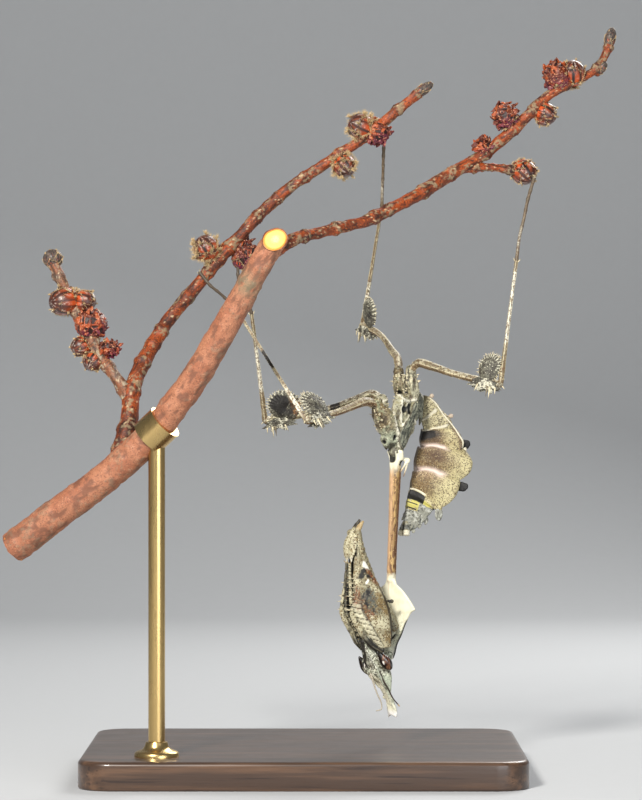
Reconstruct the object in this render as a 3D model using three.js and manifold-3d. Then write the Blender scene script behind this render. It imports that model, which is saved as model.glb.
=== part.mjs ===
// A life-size museum model of a wandering violin mantis nymph (Gongylus gongylodes), hanging head down
// from a short forked twig that one rod holds above a flat base.
// Millimetres, +Z up. The origin is the centre of the base's underside; a viewer in front looks along +Y.
import * as THREE from 'three';
import { mergeVertices } from 'three/addons/utils/BufferGeometryUtils.js';
import Module from 'manifold-3d';

// ---------------------------------------------------------------- driving dimensions
const GAP = 0.12; // clearance that a piece keeps from the ones it meets
const FLATNESS = 0.05; // how far a facet may lie from the surface it simplifies
const BASE = { length: 78, depth: 60, thickness: 5, corner: 6, bevel: 0.6 };
const ROD_RADIUS = 1.5;

const BODY_AXIS = [15.6, 0]; // where the middle plane's zero line stands, in X and Y
const BODY_YAW = THREE.MathUtils.degToRad(45); // the back faces right and away from the viewer
const ABDOMEN_AXIS = [21.1, 5.5];
const ABDOMEN_YAW = THREE.MathUtils.degToRad(35);

// Points of the body's middle plane: [towards the back, height].
const NECK_AT = [-1.1, 20.4];
const SHIELD_FOOT = [-0.2, 20.8];
const SHIELD_TOP = [0, 34.7];
const STALK_TOP = [1.15, 57.2];
const THORAX = [[1.1, 57.9], [2.2, 61.0], [3.8, 64.4], [6.6, 67.0]];
const MOUTH = [-7.2, 23.8];
const VERTEX = [-3.4, 18.6];
const CROWN_TIP = [0.45, 9.9];

const EYE = { back: -4.0, side: 2.45, height: 19.7, roll: 0.55, radii: [1.0, 1.15, 1.8] };

// ---------------------------------------------------------------- frames and small vector helpers
const wasm = await Module();
wasm.setup();

const vec = (x, y, z) => new THREE.Vector3(x, y, z);
const at = (p) => vec(...p);

// A frame standing on an axis: points are given as back, right side and height.
function frame([x, y], yaw) {
  const back = vec(Math.cos(yaw), Math.sin(yaw), 0);
  const right = vec(Math.sin(yaw), -Math.cos(yaw), 0);
  const point = (b, r, z) => vec(x, y, z).addScaledVector(back, b).addScaledVector(right, r);
  return { back, right, point };
}
const SIDES = { right: 1, left: -1 };
const body = frame(BODY_AXIS, BODY_YAW);
const tail = frame(ABDOMEN_AXIS, ABDOMEN_YAW);
const middle = ([b, z], side = 0) => body.point(b, side, z);
const UP = vec(0, 0, 1);

// The value at share t of an evenly spaced list, on a smooth curve through it.
function along(list, t) {
  if (!Array.isArray(list)) return list;
  const place = Math.min(t * (list.length - 1), list.length - 1.000001);
  const i = Math.floor(place);
  const f = place - i;
  const pick = (k) => list[Math.max(0, Math.min(list.length - 1, k))];
  const [a, b, c, d] = [pick(i - 1), pick(i), pick(i + 1), pick(i + 2)];
  const bend = 2 * a - 5 * b + 4 * c - d + (3 * (b - c) + d - a) * f;
  return b + 0.5 * f * (c - a + f * bend);
}

// ---------------------------------------------------------------- geometry helpers
function solid(geometry) {
  const bare = new THREE.BufferGeometry();
  bare.setAttribute('position', geometry.getAttribute('position').clone());
  if (geometry.index) bare.setIndex(geometry.index);
  const merged = mergeVertices(bare, 1e-4);
  const triVerts = new Uint32Array(merged.index.array);
  const vertProperties = new Float32Array(merged.attributes.position.array);
  const made = new wasm.Manifold(new wasm.Mesh({ numProp: 3, vertProperties, triVerts }));
  if (made.volume() > 0) return made;
  for (let i = 0; i < triVerts.length; i += 3) {
    [triVerts[i], triVerts[i + 1]] = [triVerts[i + 1], triVerts[i]];
  }
  return new wasm.Manifold(new wasm.Mesh({ numProp: 3, vertProperties, triVerts }));
}

function geometryOf(made) {
  const mesh = made.getMesh();
  const positions = new Float32Array(mesh.numVert * 3);
  for (let i = 0; i < mesh.numVert; i++) {
    positions.set(mesh.vertProperties.subarray(i * mesh.numProp, i * mesh.numProp + 3), i * 3);
  }
  const geometry = new THREE.BufferGeometry();
  geometry.setAttribute('position', new THREE.BufferAttribute(positions, 3));
  geometry.setIndex(new THREE.BufferAttribute(new Uint32Array(mesh.triVerts), 1));
  geometry.computeVertexNormals();
  return geometry;
}

const joined = (...parts) => parts.reduce((sum, part) => sum.add(part));

// A closed body through rings of points, its two ends closed by fans.
function loft(rings) {
  const sides = rings[0].length;
  const last = (rings.length - 1) * sides;
  const centre = (ring) => ring.reduce((sum, p) => sum.add(p), vec(0, 0, 0)).divideScalar(sides);
  const points = [...rings.flat(), centre(rings[0]), centre(rings.at(-1))];
  const index = [];
  for (let k = 0; k < sides; k++) {
    const next = (k + 1) % sides;
    for (let row = 0; row < last; row += sides) {
      index.push(row + k, row + next, row + sides + k);
      index.push(row + next, row + sides + next, row + sides + k);
    }
    index.push(next, k, last + sides);
    index.push(last + k, last + next, last + sides + 1);
  }
  const geometry = new THREE.BufferGeometry().setFromPoints(points);
  geometry.setIndex(index);
  return solid(geometry);
}

// An oval section carried along a smooth curve. Half widths are measured along the direction `wide`.
function limb({ through, wide = UP, width, depth = width, sides = 8, steps = 6 }, grow = 0) {
  const curve = new THREE.CatmullRomCurve3(through, false, 'centripetal');
  const rings = [];
  for (let i = 0; i <= steps; i++) {
    const t = i / steps;
    const ahead = curve.getTangentAt(t);
    const centre = curve.getPointAt(t).addScaledVector(ahead, grow * ((i === steps) - (i === 0)));
    const across = wide.clone().addScaledVector(ahead, -wide.dot(ahead)).normalize();
    const over = vec().crossVectors(ahead, across);
    const [w, d] = [along(width, t) + grow, along(depth, t) + grow];
    const ring = [];
    for (let k = 0; k < sides; k++) {
      const angle = ((k + 0.5) / sides) * 2 * Math.PI;
      ring.push(centre.clone()
        .addScaledVector(across, w * Math.cos(angle))
        .addScaledVector(over, d * Math.sin(angle)));
    }
    rings.push(ring);
  }
  return loft(rings);
}

// A flat plate: an outline in the plane of two directions, centred on its thickness.
function plate(outline, origin, first, second, thickness, grow = 0) {
  const shape = new THREE.Shape(outline.map(([a, b]) => new THREE.Vector2(a, b)));
  const depth = thickness + 2 * grow;
  const geometry = new THREE.ExtrudeGeometry(shape, { depth, bevelEnabled: false });
  const x = first.clone().normalize();
  const z = vec().crossVectors(x, second).normalize();
  const y = vec().crossVectors(z, x);
  geometry.translate(0, 0, -depth / 2);
  geometry.applyMatrix4(new THREE.Matrix4().makeBasis(x, y, z).setPosition(origin));
  return solid(geometry);
}

function ball(centre, radii, axis = UP, grow = 0, detail = 1) {
  const geometry = new THREE.IcosahedronGeometry(1, detail);
  geometry.scale(...radii.map((r) => r + grow));
  geometry.applyQuaternion(new THREE.Quaternion().setFromUnitVectors(UP, axis.clone().normalize()));
  geometry.translate(...centre);
  return solid(geometry);
}

function bud([centre, radii, axis = [0, 0, 1]], grow = 0) {
  const geometry = new THREE.SphereGeometry(1, 6, 4);
  geometry.rotateX(Math.PI / 2);
  geometry.scale(...radii.map((r) => r + grow));
  geometry.applyQuaternion(new THREE.Quaternion().setFromUnitVectors(UP, at(axis).normalize()));
  geometry.translate(...centre);
  return solid(geometry);
}

// A round lobe with a toothed rim, given as [along first, along second] from the plate's origin.
function toothedLobe(centre, radii, tilt, teeth, tooth) {
  const outline = [];
  for (let k = 0; k < 2 * teeth; k++) {
    const angle = (k / (2 * teeth)) * 2 * Math.PI;
    const reach = k % 2 ? 1 : 1 + tooth;
    const [x, y] = [radii[0] * reach * Math.cos(angle), radii[1] * reach * Math.sin(angle)];
    const [c, s] = [Math.cos(tilt), Math.sin(tilt)];
    outline.push([centre[0] + x * c - y * s, centre[1] + x * s + y * c]);
  }
  return outline;
}

// ---------------------------------------------------------------- the list of pieces
const pieces = []; // { name, make(grow), finish, meets: names it is cut back from }
const makers = new Map();
function piece(name, finish, meets, make) {
  pieces.push({ name, finish, meets, make });
  makers.set(name, make);
}

const finishes = {
  cuticle: { color: 0xb3a67e, roughness: 0.65 },
  shield: { color: 0xe6e2c4, roughness: 0.55 },
  stalk: { color: 0xb07a45, roughness: 0.5 },
  eye: { color: 0x5a2c1c, roughness: 0.25 },
  wing: { color: 0x87907c, roughness: 0.7 },
  abdomen: { color: 0x9a835f, roughness: 0.7 },
  bark: { color: 0x8f4a2c, roughness: 0.6 },
  bud: { color: 0x4a1d18, roughness: 0.5 },
  base: { color: 0x3a2a20, roughness: 0.45 },
  rod: { color: 0xb9a36a, roughness: 0.3, metalness: 1 },
};

// ---------------------------------------------------------------- head
const faceDown = middle(VERTEX).sub(middle(MOUTH)).normalize(); // from the mouth to the vertex

piece('head', 'cuticle', ['eye_right', 'eye_left', 'crown'], (grow) => joined(
  limb({
    through: [middle(MOUTH), middle([-5.4, 21.5]), middle([-4.1, 19.6]), middle(VERTEX)],
    wide: body.right,
    width: [0.55, 1.15, 1.75, 2.2, 1.5],
    depth: [0.45, 0.9, 1.15, 1.25, 0.8],
    sides: 10,
    steps: 6,
  }, grow),
  limb({
    through: [middle([-3.9, 20]), middle([-2.4, 20.6]), middle(NECK_AT)],
    width: [0.9, 0.75, 0.7],
    sides: 6,
    steps: 3,
  }, grow),
));

for (const [side, sign] of Object.entries(SIDES)) {
  piece(`eye_${side}`, 'eye', [], (grow) => {
    const centre = body.point(EYE.back, sign * EYE.side, EYE.height + sign * EYE.roll);
    return ball(centre, EYE.radii, faceDown, grow);
  });
}

// The tall cone on the vertex, flared and notched at its tip.
const crownLine = [VERTEX, [-2.3, 16.6], [-1.3, 14.7], [-0.25, 12.7], CROWN_TIP].map((p) => middle(p));
piece('crown', 'cuticle', ['eye_right', 'eye_left'], (grow) => {
  const blade = limb({
    through: crownLine,
    wide: body.right,
    width: [1.9, 1.7, 1.05, 0.95, 1.5, 1.25],
    depth: [0.9, 0.8, 0.55, 0.45, 0.4, 0.3],
    sides: 8,
    steps: 8,
  }, grow);
  const down = crownLine.at(-1).clone().sub(crownLine.at(-2)).normalize();
  const notch = plate([[-0.8, 0.4], [0.8, 0.4], [0, -0.9]], crownLine.at(-1), body.right, down, 3);
  const lug = plate([[0, -0.5], [1.9, 0.35], [0, 0.6]], middle([0.1, 11.9]), body.right, down, 0.6, grow);
  return blade.subtract(notch).add(lug);
});

const antennae = { // in X, Y, Z
  right: [[13.3, -3.7, 18.6], [14.3, -3.3, 16.5], [15.0, -2.6, 15.3], [15.9, -1.9, 13.5], [17.1, -1.2, 12.0]],
  left: [[11.9, -3.1, 18.0], [12.5, -3.0, 16.0], [13.1, -2.8, 14.3], [13.8, -2.6, 12.7], [13.8, -2.6, 11.6],
    [12.9, -2.7, 11.3]],
};
for (const [side, line] of Object.entries(antennae)) {
  piece(`antenna_${side}`, 'cuticle', ['head', 'crown', `eye_${side}`], (grow) => limb({
    through: line.map(at),
    wide: vec(0.6, -0.8, 0.1),
    width: [0.32, 0.27, 0.26, 0.25],
    sides: 6,
    steps: 8,
  }, grow));
}

// ---------------------------------------------------------------- prothorax: shield and stalk
const SHIELD_RIM = [ // [half width, height] down one side
  [0.8, 34.9], [1.5, 33.9], [2.8, 32.9], [4.3, 31.4], [5.65, 29.7], [4.75, 28.9], [3.6, 27.0], [2.6, 24.9],
  [1.5, 23.0], [0.75, 20.9],
];
piece('prothorax_shield', 'shield', ['prothorax_stalk', 'head'], (grow) => {
  const rim = [...SHIELD_RIM, ...SHIELD_RIM.map(([w, z]) => [-w, z]).reverse()];
  const wide = rim.map(([w, z]) => [w + Math.sign(w) * grow, z]);
  return joined(
    plate(wide, middle([0, 0]), body.right, UP, 0.9, grow),
    limb({
      through: [middle([-0.1, 34.7]), middle([-0.2, 28]), middle(SHIELD_FOOT)],
      wide: body.right,
      width: [0.85, 0.9, 0.75],
      depth: [0.85, 1.0, 0.8],
      steps: 3,
    }, grow),
  );
});

piece('prothorax_stalk', 'stalk', ['thorax'], (grow) => joined(
  limb({
    through: [middle(SHIELD_TOP), middle([0.45, 43]), middle([0.95, 52]), middle(STALK_TOP)],
    wide: body.right,
    width: [0.92, 0.84, 0.88, 1.05, 1.45],
    depth: [0.9, 0.84, 0.9, 1.05, 1.3],
    steps: 8,
  }, grow),
  limb({ through: [middle([1.6, 56.2]), middle([4.5, 56.5])], width: [0.7, 0.3], sides: 6, steps: 2 }, grow),
));

// ---------------------------------------------------------------- thorax and wing pads
piece('thorax', 'cuticle', [], (grow) => limb({
  through: THORAX.map((p) => middle(p)),
  wide: body.right,
  width: [1.3, 2.1, 2.4, 2.4, 2.1, 1.5],
  depth: [1.2, 1.55, 1.6, 1.6, 1.5, 1.1],
  sides: 10,
  steps: 6,
}, grow));

const PAD_THICKNESS = 0.55;
const padOutline = (length, half) => [
  [-0.3 * half, 0], [0.6 * half, 0], [half, 0.4 * length], [0.55 * half, 0.8 * length], [0.1 * half, length],
  [-0.5 * half, 0.75 * length], [-0.7 * half, 0.35 * length],
];
for (const [side, sign] of Object.entries(SIDES)) {
  const slope = body.right.clone().multiplyScalar(sign * 0.75).add(body.back).normalize();
  const alongBody = body.back.clone().multiplyScalar(0.25).add(UP);
  const root = ['thorax', `hind_coxa_${side}`];
  const pad = (length, half, origin, grow) => plate(
    padOutline(length, half), origin, slope, alongBody, PAD_THICKNESS, grow);
  piece(`wing_pad_fore_${side}`, 'wing', [...root, 'prothorax_stalk', `mid_coxa_${side}`], (grow) => pad(
    8.6, 1.6, body.point(2.2, sign * 1.75, 57.7), grow));
  piece(`wing_pad_hind_${side}`, 'wing', [...root, `wing_pad_fore_${side}`], (grow) => pad(
    5.0, 1.5, body.point(4.7, sign * 2.1, 63.0), grow));
}

// ---------------------------------------------------------------- abdomen
// The edges between segments: the keel's place [back, height], the lean of the section in degrees, its half
// width, its thickness below the keel, and how far its sides sweep to the rear.
const EDGES = [
  [0, 65.6, 75, 1.6, 2.3, 0.2], [0.25, 63.4, 37, 2.8, 3.5, 0.4], [0.5, 61.4, 17, 4.3, 4.6, 0.8],
  [-0.3, 58.6, 4, 5.8, 6.3, 1.2], [-1.45, 54.4, -8, 6.2, 7.0, 1.5], [-2.3, 51.1, -18, 4.7, 5.4, 2.6],
  [-2.8, 49.2, -22, 3.7, 4.0, 0.9], [-3.3, 47.4, -26, 3.2, 3.5, 0.4], [-3.9, 43.9, -30, 1.0, 1.3, 0.2],
];
const LOBE = [0.2, 0.3, 0.4, 1.7, 1.1, 0.3, 0.2, 0.3]; // how far each segment's side bulges past its edges
const VENTRAL_LOBES = [0, 1.3, 2.4, 2.4, 2.4, 2.0, 0, 0];
// The section's outline: [share of the half width, share of the thickness below the keel].
const SECTION = [[0, 0], [0.34, 0.19], [0.68, 0.42], [0.91, 0.66], [1, 0.82], [0.82, 0.94], [0.4, 1]];
const fullSection = [...SECTION, [0, 1.02], ...SECTION.slice(1).reverse().map(([w, d]) => [-w, d])];

// The frame of a segment's section at share t of its length.
function sectionAt(i, t) {
  const [back, height, leanBy, half, thick, sweep] = EDGES[0].map(
    (_, k) => along(EDGES.map((row) => row[k]), (i + t) / (EDGES.length - 1)));
  const lean = THREE.MathUtils.degToRad(leanBy);
  const belly = tail.back.clone().multiplyScalar(Math.cos(lean)).addScaledVector(UP, Math.sin(lean));
  const rear = tail.back.clone().multiplyScalar(Math.sin(lean)).addScaledVector(UP, -Math.cos(lean));
  const bulge = LOBE[i] * Math.sin(Math.PI * t) ** 0.7;
  const keel = tail.point(back, 0, height);
  return { keel, belly, rear, half: half + bulge, thick: thick + 0.7 * bulge, sweep };
}

function segmentRing(i, t, grow) {
  const { keel, belly, rear, half, thick, sweep } = sectionAt(i, t);
  return fullSection.map(([a, b]) => keel.clone()
    .addScaledVector(tail.right, a * (half + grow))
    .addScaledVector(belly, b * (thick + 2 * grow) - grow)
    .addScaledVector(rear, sweep * a * a));
}

const WAIST = ['thorax', 'hind_coxa_right', 'hind_coxa_left', 'wing_pad_hind_right', 'wing_pad_hind_left'];
for (let i = 0; i < EDGES.length - 1; i++) {
  const before = i ? [`abdomen_${i}`] : WAIST;
  piece(`abdomen_${i + 1}`, 'abdomen', before, (grow) => {
    const shell = loft([0.03, 0.34, 0.68, 0.97].map((t) => segmentRing(i, t, grow)));
    const reach = VENTRAL_LOBES[i];
    if (!reach) return shell;
    const { keel, belly, rear, thick } = sectionAt(i, 0.6);
    const leaf = [[-0.6, -0.8], [0.55 * reach, -0.75], [reach, 0.2], [0.75 * reach, 0.85], [-0.6, 0.9]];
    return shell.add(plate(leaf, keel.clone().addScaledVector(belly, thick), belly, rear, 0.7, grow));
  });
}

const CERCUS = [[-3.6, 0.5, 44.4], [-3.7, 0.75, 43.2], [-3.9, 0.9, 42.0]]; // [back, outwards, height]
for (const [side, sign] of Object.entries(SIDES)) {
  piece(`cercus_${side}`, 'abdomen', ['abdomen_8', 'prothorax_stalk'], (grow) => limb({
    through: CERCUS.map(([b, s, z]) => tail.point(b, sign * s, z)),
    width: [0.4, 0.45, 0.3],
    sides: 6,
    steps: 3,
  }, grow));
}

// ---------------------------------------------------------------- forelegs, folded beside the shield
// Points are [back, outwards, height], for either leg.
const FORE_COXA = [
  [-1.2, 1.8, 26.4], [-2.97, 1.7, 29.3], [-4.5, 1.4, 32.1], [-6.3, 1.06, 35.2], [-7.7, 0.92, 38.1],
  [-8.8, 1.0, 40.6], [-9.4, 0.9, 43.4],
];
const FORE_HOOK = [[-9.6, 0.9, 43.2], [-9.6, 0.9, 44.5], [-8.9, 1.2, 45.1]];
// The femur is a leaf-like blade, given evenly down its height.
const FORE_FEMUR = {
  heights: [40.6, 22.8],
  back: [-9.5, -9.2, -8.65, -8.05, -7.6, -7.05, -6.35, -5.65, -5.0],
  half: [0.15, 0.85, 1.65, 2.5, 3.05, 3.25, 2.6, 1.8, 0.35],
  thick: [0.3, 0.45, 0.6, 0.75, 0.85, 0.85, 0.8, 0.7, 0.4],
};
const FORELEGS = {
  right: {
    femur: [0.7, 0.9, 1.3, 1.7, 1.9, 2.1, 2.4, 2.75, 3.1],
    lobe: [[-10.2, 0.95, 42.8], [-10.4, 0.78, 40.7], [-10.6, 0.57, 38.7]],
    tibia: [[-5.4, 2.8, 22.4], [-7.0, 2.05, 23.5], [-8.7, 1.2, 25.7], [-10.4, 0.35, 29.2], [-10.2, 0.4, 30.4]],
    tarsus: [[-10.6, 0.3, 30.9], [-10.8, 0.3, 34.1], [-11.0, 0.4, 37.8]],
  },
  left: {
    femur: [0.6, 0.9, 1.6, 2.3, 2.8, 3.1, 2.9, 2.4, 2.2],
    lobe: [[-9.8, 0.74, 43.5], [-10.2, 1.16, 41.2], [-10.2, 1.16, 38.7]],
    tibia: [[-5.4, 2.2, 22.4], [-7.0, 1.9, 23.7], [-8.7, 1.6, 25.9], [-10.4, 2.2, 29.3], [-10.2, 2.3, 30.6]],
    tarsus: [[-10.4, 2.05, 31.0], [-10.3, 1.5, 34.1], [-10.4, 0.95, 37.9]],
  },
};
const FORE_PARTS = ['fore_coxa', 'fore_femur', 'fore_tibia', 'fore_tarsus'];
const BLADE_STEPS = 9;

for (const [side, sign] of Object.entries(SIDES)) {
  const leg = FORELEGS[side];
  const place = (list) => list.map(([b, s, z]) => body.point(b, sign * s, z));
  const flat = body.back.clone().multiplyScalar(-0.887).addScaledVector(body.right, -0.462 * sign);
  const other = side === 'left' ? FORE_PARTS.map((part) => `${part}_right`) : [];
  const own = (count) => FORE_PARTS.slice(0, count).map((part) => `${part}_${side}`);

  piece(`fore_coxa_${side}`, 'cuticle', ['prothorax_shield', ...other], (grow) => joined(
    limb({
      through: place(FORE_COXA),
      wide: flat,
      width: [1.0, 0.95, 0.85, 0.75, 0.6],
      depth: [0.8, 0.75, 0.65, 0.55],
      sides: 6,
      steps: 7,
    }, grow),
    limb({ through: place(FORE_HOOK), width: [0.55, 0.6, 0.3], sides: 5, steps: 2 }, grow),
    limb({
      through: place(leg.lobe),
      wide: vec(1, 0, 0),
      width: [0.4, 0.55, 0.2],
      depth: 0.35,
      sides: 6,
      steps: 3,
    }, grow),
    limb({ through: [place(FORE_COXA).at(-1), place(leg.lobe)[0]], width: 0.45, sides: 5, steps: 1 }, grow),
  ));

  piece(`fore_femur_${side}`, 'cuticle', [...own(1), 'head', 'prothorax_shield', ...other], (grow) => {
    const rings = [];
    const over = vec().crossVectors(UP, flat);
    const [top, foot] = [FORE_FEMUR.heights[0] + grow, FORE_FEMUR.heights[1] - grow];
    for (let i = 0; i <= BLADE_STEPS; i++) {
      const t = i / BLADE_STEPS;
      const centre = body.point(along(FORE_FEMUR.back, t), sign * along(leg.femur, t), top + (foot - top) * t);
      const [w, d] = [along(FORE_FEMUR.half, t) * 1.05 + grow, along(FORE_FEMUR.thick, t) + grow];
      rings.push([0, 1, 2, 3, 4, 5, 6, 7].map((k) => centre.clone()
        .addScaledVector(flat, w * Math.cos(k * Math.PI / 4))
        .addScaledVector(over, d * Math.sin(k * Math.PI / 4))));
    }
    return loft(rings);
  });

  piece(`fore_tibia_${side}`, 'cuticle', [...own(2), 'head', ...other], (grow) => limb({
    through: place(leg.tibia),
    wide: flat,
    width: [0.5, 0.55, 0.5, 0.28],
    depth: [0.45, 0.5, 0.45, 0.28],
    sides: 6,
    steps: 6,
  }, grow));

  piece(`fore_tarsus_${side}`, 'cuticle', [...own(3), ...other], (grow) => limb({
    through: place(leg.tarsus),
    width: [0.32, 0.28, 0.26],
    sides: 6,
    steps: 4,
  }, grow));
}

// ---------------------------------------------------------------- walking legs
// Joints in X, Y, Z: hip, top of the coxa, knee, end of the shin, and the foot's line over the perch.
const WALKING_LEGS = {
  hind_right: {
    hip: [19.3, 1.7, 66.2], coxa: [19.2, 0.9, 72.3],
    femur: [[19.1, 0.8, 72.1], [20.4, -0.3, 73.6], [22.6, -2.4, 73.1], [26.9, -5.8, 71.6], [34.4, -9.5, 69.7]],
    shin: [37.9, -5, 92.0], lobe: { centre: [-2.4, 2.5], radii: [1.95, 2.6] },
    foot: [[38.5, -4.5, 96.3], [39.3, -4, 99.5], [40.0, -3.6, 102.8], [41.1, -3.5, 106.6]],
  },
  hind_left: {
    hip: [18.0, 4.0, 66.2], coxa: [17.1, 4.4, 72.3],
    femur: [[17.2, 4.5, 72.1], [16.9, 6.0, 74.6], [16.1, 8.0, 75.8], [14.1, 13.2, 78.8], [10.9, 20.0, 80.8]],
    shin: [14.15, 10, 102.5], lobe: { centre: [-3.0, 3.2], radii: [2.4, 2.7] },
    foot: [[14.2, 8.6, 105.2], [14.3, 7.0, 108.4], [14.35, 5.5, 111.5], [14.5, 4.7, 114.6]],
  },
  mid_right: {
    hip: [15.2, -0.9, 60.2], coxa: [13.0, -2.5, 66.5],
    femur: [[13.1, -2.5, 66.3], [11.0, -4.6, 66.7], [8.2, -7.8, 65.7], [5.8, -10.6, 64.8], [0.7, -16.3, 63.5]],
    shin: [-11.4, -8.5, 82.1], lobe: { centre: [-4.1, 1.9], radii: [2.75, 2.6] },
    foot: [[-13.2, -6.4, 84.3], [-15.1, -4.4, 86.1], [-16.9, -2.8, 87.6], [-18.7, -1.9, 89.8]],
  },
  mid_left: {
    hip: [15.6, 2.8, 60.4], coxa: [14.3, 5.2, 67.2],
    femur: [[14.3, 5.3, 67.0], [12.4, 6.5, 68.1], [10.3, 7.2, 67.4], [4.6, 9.2, 65.4], [-6.8, 12.0, 63.2]],
    shin: [-9.6, 3.8, 82.8], lobe: { centre: [-3.4, 2.6], radii: [2.5, 2.5] },
    foot: [[-10.2, 3.0, 84.9], [-11.0, 2.2, 86.9], [-11.9, 1.5, 89.0], [-12.0, 1.5, 91.0]],
  },
};
// Flat lobes at the end of each femur, placed by [along the femur, towards the shin] from the knee.
const KNEE_LOBE = { tilt: 0, teeth: 10, tooth: 0.12, thickness: 0.75 }; // a toothed disc above the knee
const HEEL_LOBE = { // a ragged flap below it
  centre: [-2.3, -0.85], radii: [2.5, 0.75], tilt: 0.06, teeth: 5, tooth: 0.2, thickness: 0.7,
};
const perchNames = ['perch_twig_upper', 'perch_twig_right', 'perch_stem'];

for (const [name, joints] of Object.entries(WALKING_LEGS)) {
  const [pair, side] = name.split('_');
  const part = (segment) => `${pair}_${segment}_${side}`;
  const [hip, coxa, shin] = ['hip', 'coxa', 'shin'].map((key) => at(joints[key]));
  const femur = joints.femur.map(at);
  const knee = femur.at(-1);
  const thigh = knee.clone().sub(femur.at(-2)).normalize();
  const shank = shin.clone().sub(knee).normalize();
  const upright = shank.clone().addScaledVector(thigh, -shank.dot(thigh)).normalize();
  const hingeAxis = vec().crossVectors(thigh, shank).normalize();
  const opposite = side === 'left' ? [`${pair}_coxa_right`] : [];
  const forward = pair === 'hind' ? ['mid_coxa_right', 'mid_coxa_left'] : [];

  piece(part('coxa'), 'cuticle', ['thorax', 'prothorax_stalk', ...opposite, ...forward], (grow) => limb({
    through: [hip, hip.clone().lerp(coxa, 0.5), coxa],
    wide: body.back,
    width: [1.0, 1.35, 1.2, 0.75],
    depth: [0.95, 1.15, 1.05, 0.65],
    steps: 4,
  }, grow));

  piece(part('femur'), 'cuticle', [part('coxa'), part('tibia'), ...opposite], (grow) => {
    const lobe = ({ centre, radii, tilt, teeth, tooth, thickness }) => plate(
      toothedLobe(centre, radii, tilt, teeth, tooth), knee, thigh, upright, thickness, grow);
    const width = [0.6, 0.72, 0.6, 0.55, 0.6, 0.7];
    const shaft = limb({ through: femur, width, sides: 6, steps: 7 }, grow);
    return joined(shaft, lobe({ ...KNEE_LOBE, ...joints.lobe }), lobe(HEEL_LOBE));
  });

  piece(part('tibia'), 'cuticle', [], (grow) => limb({
    through: [knee.clone().addScaledVector(thigh, 0.55).addScaledVector(shank, 0.3), shin],
    wide: hingeAxis,
    width: [0.52, 0.46, 0.4, 0.36, 0.33],
    sides: 6,
    steps: 4,
  }, grow));

  piece(part('tarsus'), 'cuticle', [part('tibia'), ...perchNames], (grow) => limb({
    through: [shin, ...joints.foot.map(at)],
    wide: hingeAxis,
    width: [0.3, 0.28, 0.27, 0.27],
    sides: 6,
    steps: 5,
  }, grow));
}

// ---------------------------------------------------------------- perch: a short forked twig with buds
const STEM = [
  [-51.5, -10, 40.9], [-43.0, -13, 47.3], [-32.2, -17, 55.6], [-25.0, -20, 62.6], [-17.9, -24, 72.2],
  [-11.8, -28, 82.4], [-7.1, -31, 90.6], [-4.8, -32, 94.3],
].map(at);
const TWIGS = { // buds: centre, radii and the way their length points
  perch_twig_upper: {
    line: [[-32.6, -16.6, 56.1], [-30.9, -14, 62.6], [-30.3, -11, 69.2], [-27.5, -6, 75.9], [-22.3, -2, 84.0],
      [-16.1, 0, 91.3], [-11.6, 1, 96.7], [-4.4, 2, 104.0], [4.6, 2, 110.3], [11.5, 2, 114.9], [17.3, 2, 119.7],
      [20.4, 2, 122.2]],
    radius: [1.7, 1.45, 1.2, 1.1, 1.05, 0.95, 0.85, 0.85],
    buds: [
      [[-17.6, -0.3, 94.3], [2.5, 2.5, 2.6]], [[-11.0, 1.6, 93.4], [1.9, 1.9, 2.7], [0.35, 0, 1]],
      [[7.2, 1.6, 109.3], [2.2, 2.2, 2.3]], [[10.2, 1.7, 116.4], [2.5, 2.5, 2.6]],
      [[13.0, 2.3, 115.5], [2.3, 2.3, 2.4]], [[21.4, 2, 123.0], [1.05, 1.05, 2.4], [0.8, 0, 0.6]],
    ],
  },
  perch_twig_right: {
    line: [[-6.4, -29.4, 91.2], [-2.3, -26, 94.4], [2.8, -22, 96.0], [9.8, -17, 98.1], [16.9, -12, 101.4],
      [22.4, -8, 104.8], [27.8, -5, 108.4], [33.3, -3, 111.8], [38.7, -2, 116.9], [44.2, -1, 121.8],
      [48.7, 0, 124.6], [52.4, 1, 126.5], [54.3, 2, 129.3], [54.9, 2, 130.6]],
    radius: [1.1, 1.0, 1.0, 1.1, 1.15, 1.0, 0.95, 0.75, 0.65],
    buds: [
      [[36.1, -2.3, 117.8], [2.3, 2.3, 2.4]], [[43.3, -0.9, 118.4], [2.2, 2.2, 2.3]],
      [[45.4, -0.4, 125.2], [2.3, 2.3, 2.8]], [[48.3, 0.2, 125.8], [2.4, 2.4, 2.6]],
      [[55.2, 2.1, 132.2], [1.1, 1.1, 2.3], [0.25, 0, 1]], [[53.6, 1.2, 126.9], [0.9, 0.9, 1.5]],
      [[32.1, -3.6, 112.3], [1.5, 1.3, 1.5]],
    ],
  },
  perch_twig_left: {
    line: [[-30.9, -12, 67.2], [-33.1, -10.8, 71.0], [-35.6, -9.6, 74.4], [-38.0, -8.6, 78.3],
      [-40.6, -7.8, 83.0], [-42.9, -7, 87.4], [-44.6, -6.2, 91.2]],
    radius: [1.1, 1.0, 0.95, 0.95, 0.95, 0.95],
    buds: [
      [[-44.8, -6, 92.2], [1.9, 1.7, 1.8]], [[-42.7, -7.6, 84.5], [2.9, 2.6, 2.9]],
      [[-39.0, -7.4, 84.6], [2.2, 2.1, 2.2]], [[-37.8, -8.4, 80.5], [2.8, 2.5, 2.7]],
      [[-39.6, -9.2, 76.5], [1.9, 1.8, 1.9]], [[-37.3, -9.6, 73.9], [2.0, 1.8, 2.1]],
      [[-34.7, -9.6, 76.0], [1.6, 1.5, 2.1]],
    ],
  },
};
const SPUR = [[28.3, -4.4, 108.2], [31.6, -3.4, 108.7], [34.4, -2.6, 108.6], [37.4, -2, 108.2]].map(at);
const SPUR_BUD = [[39.5, -1.4, 107.9], [2.4, 2.4, 2.5]];

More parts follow.
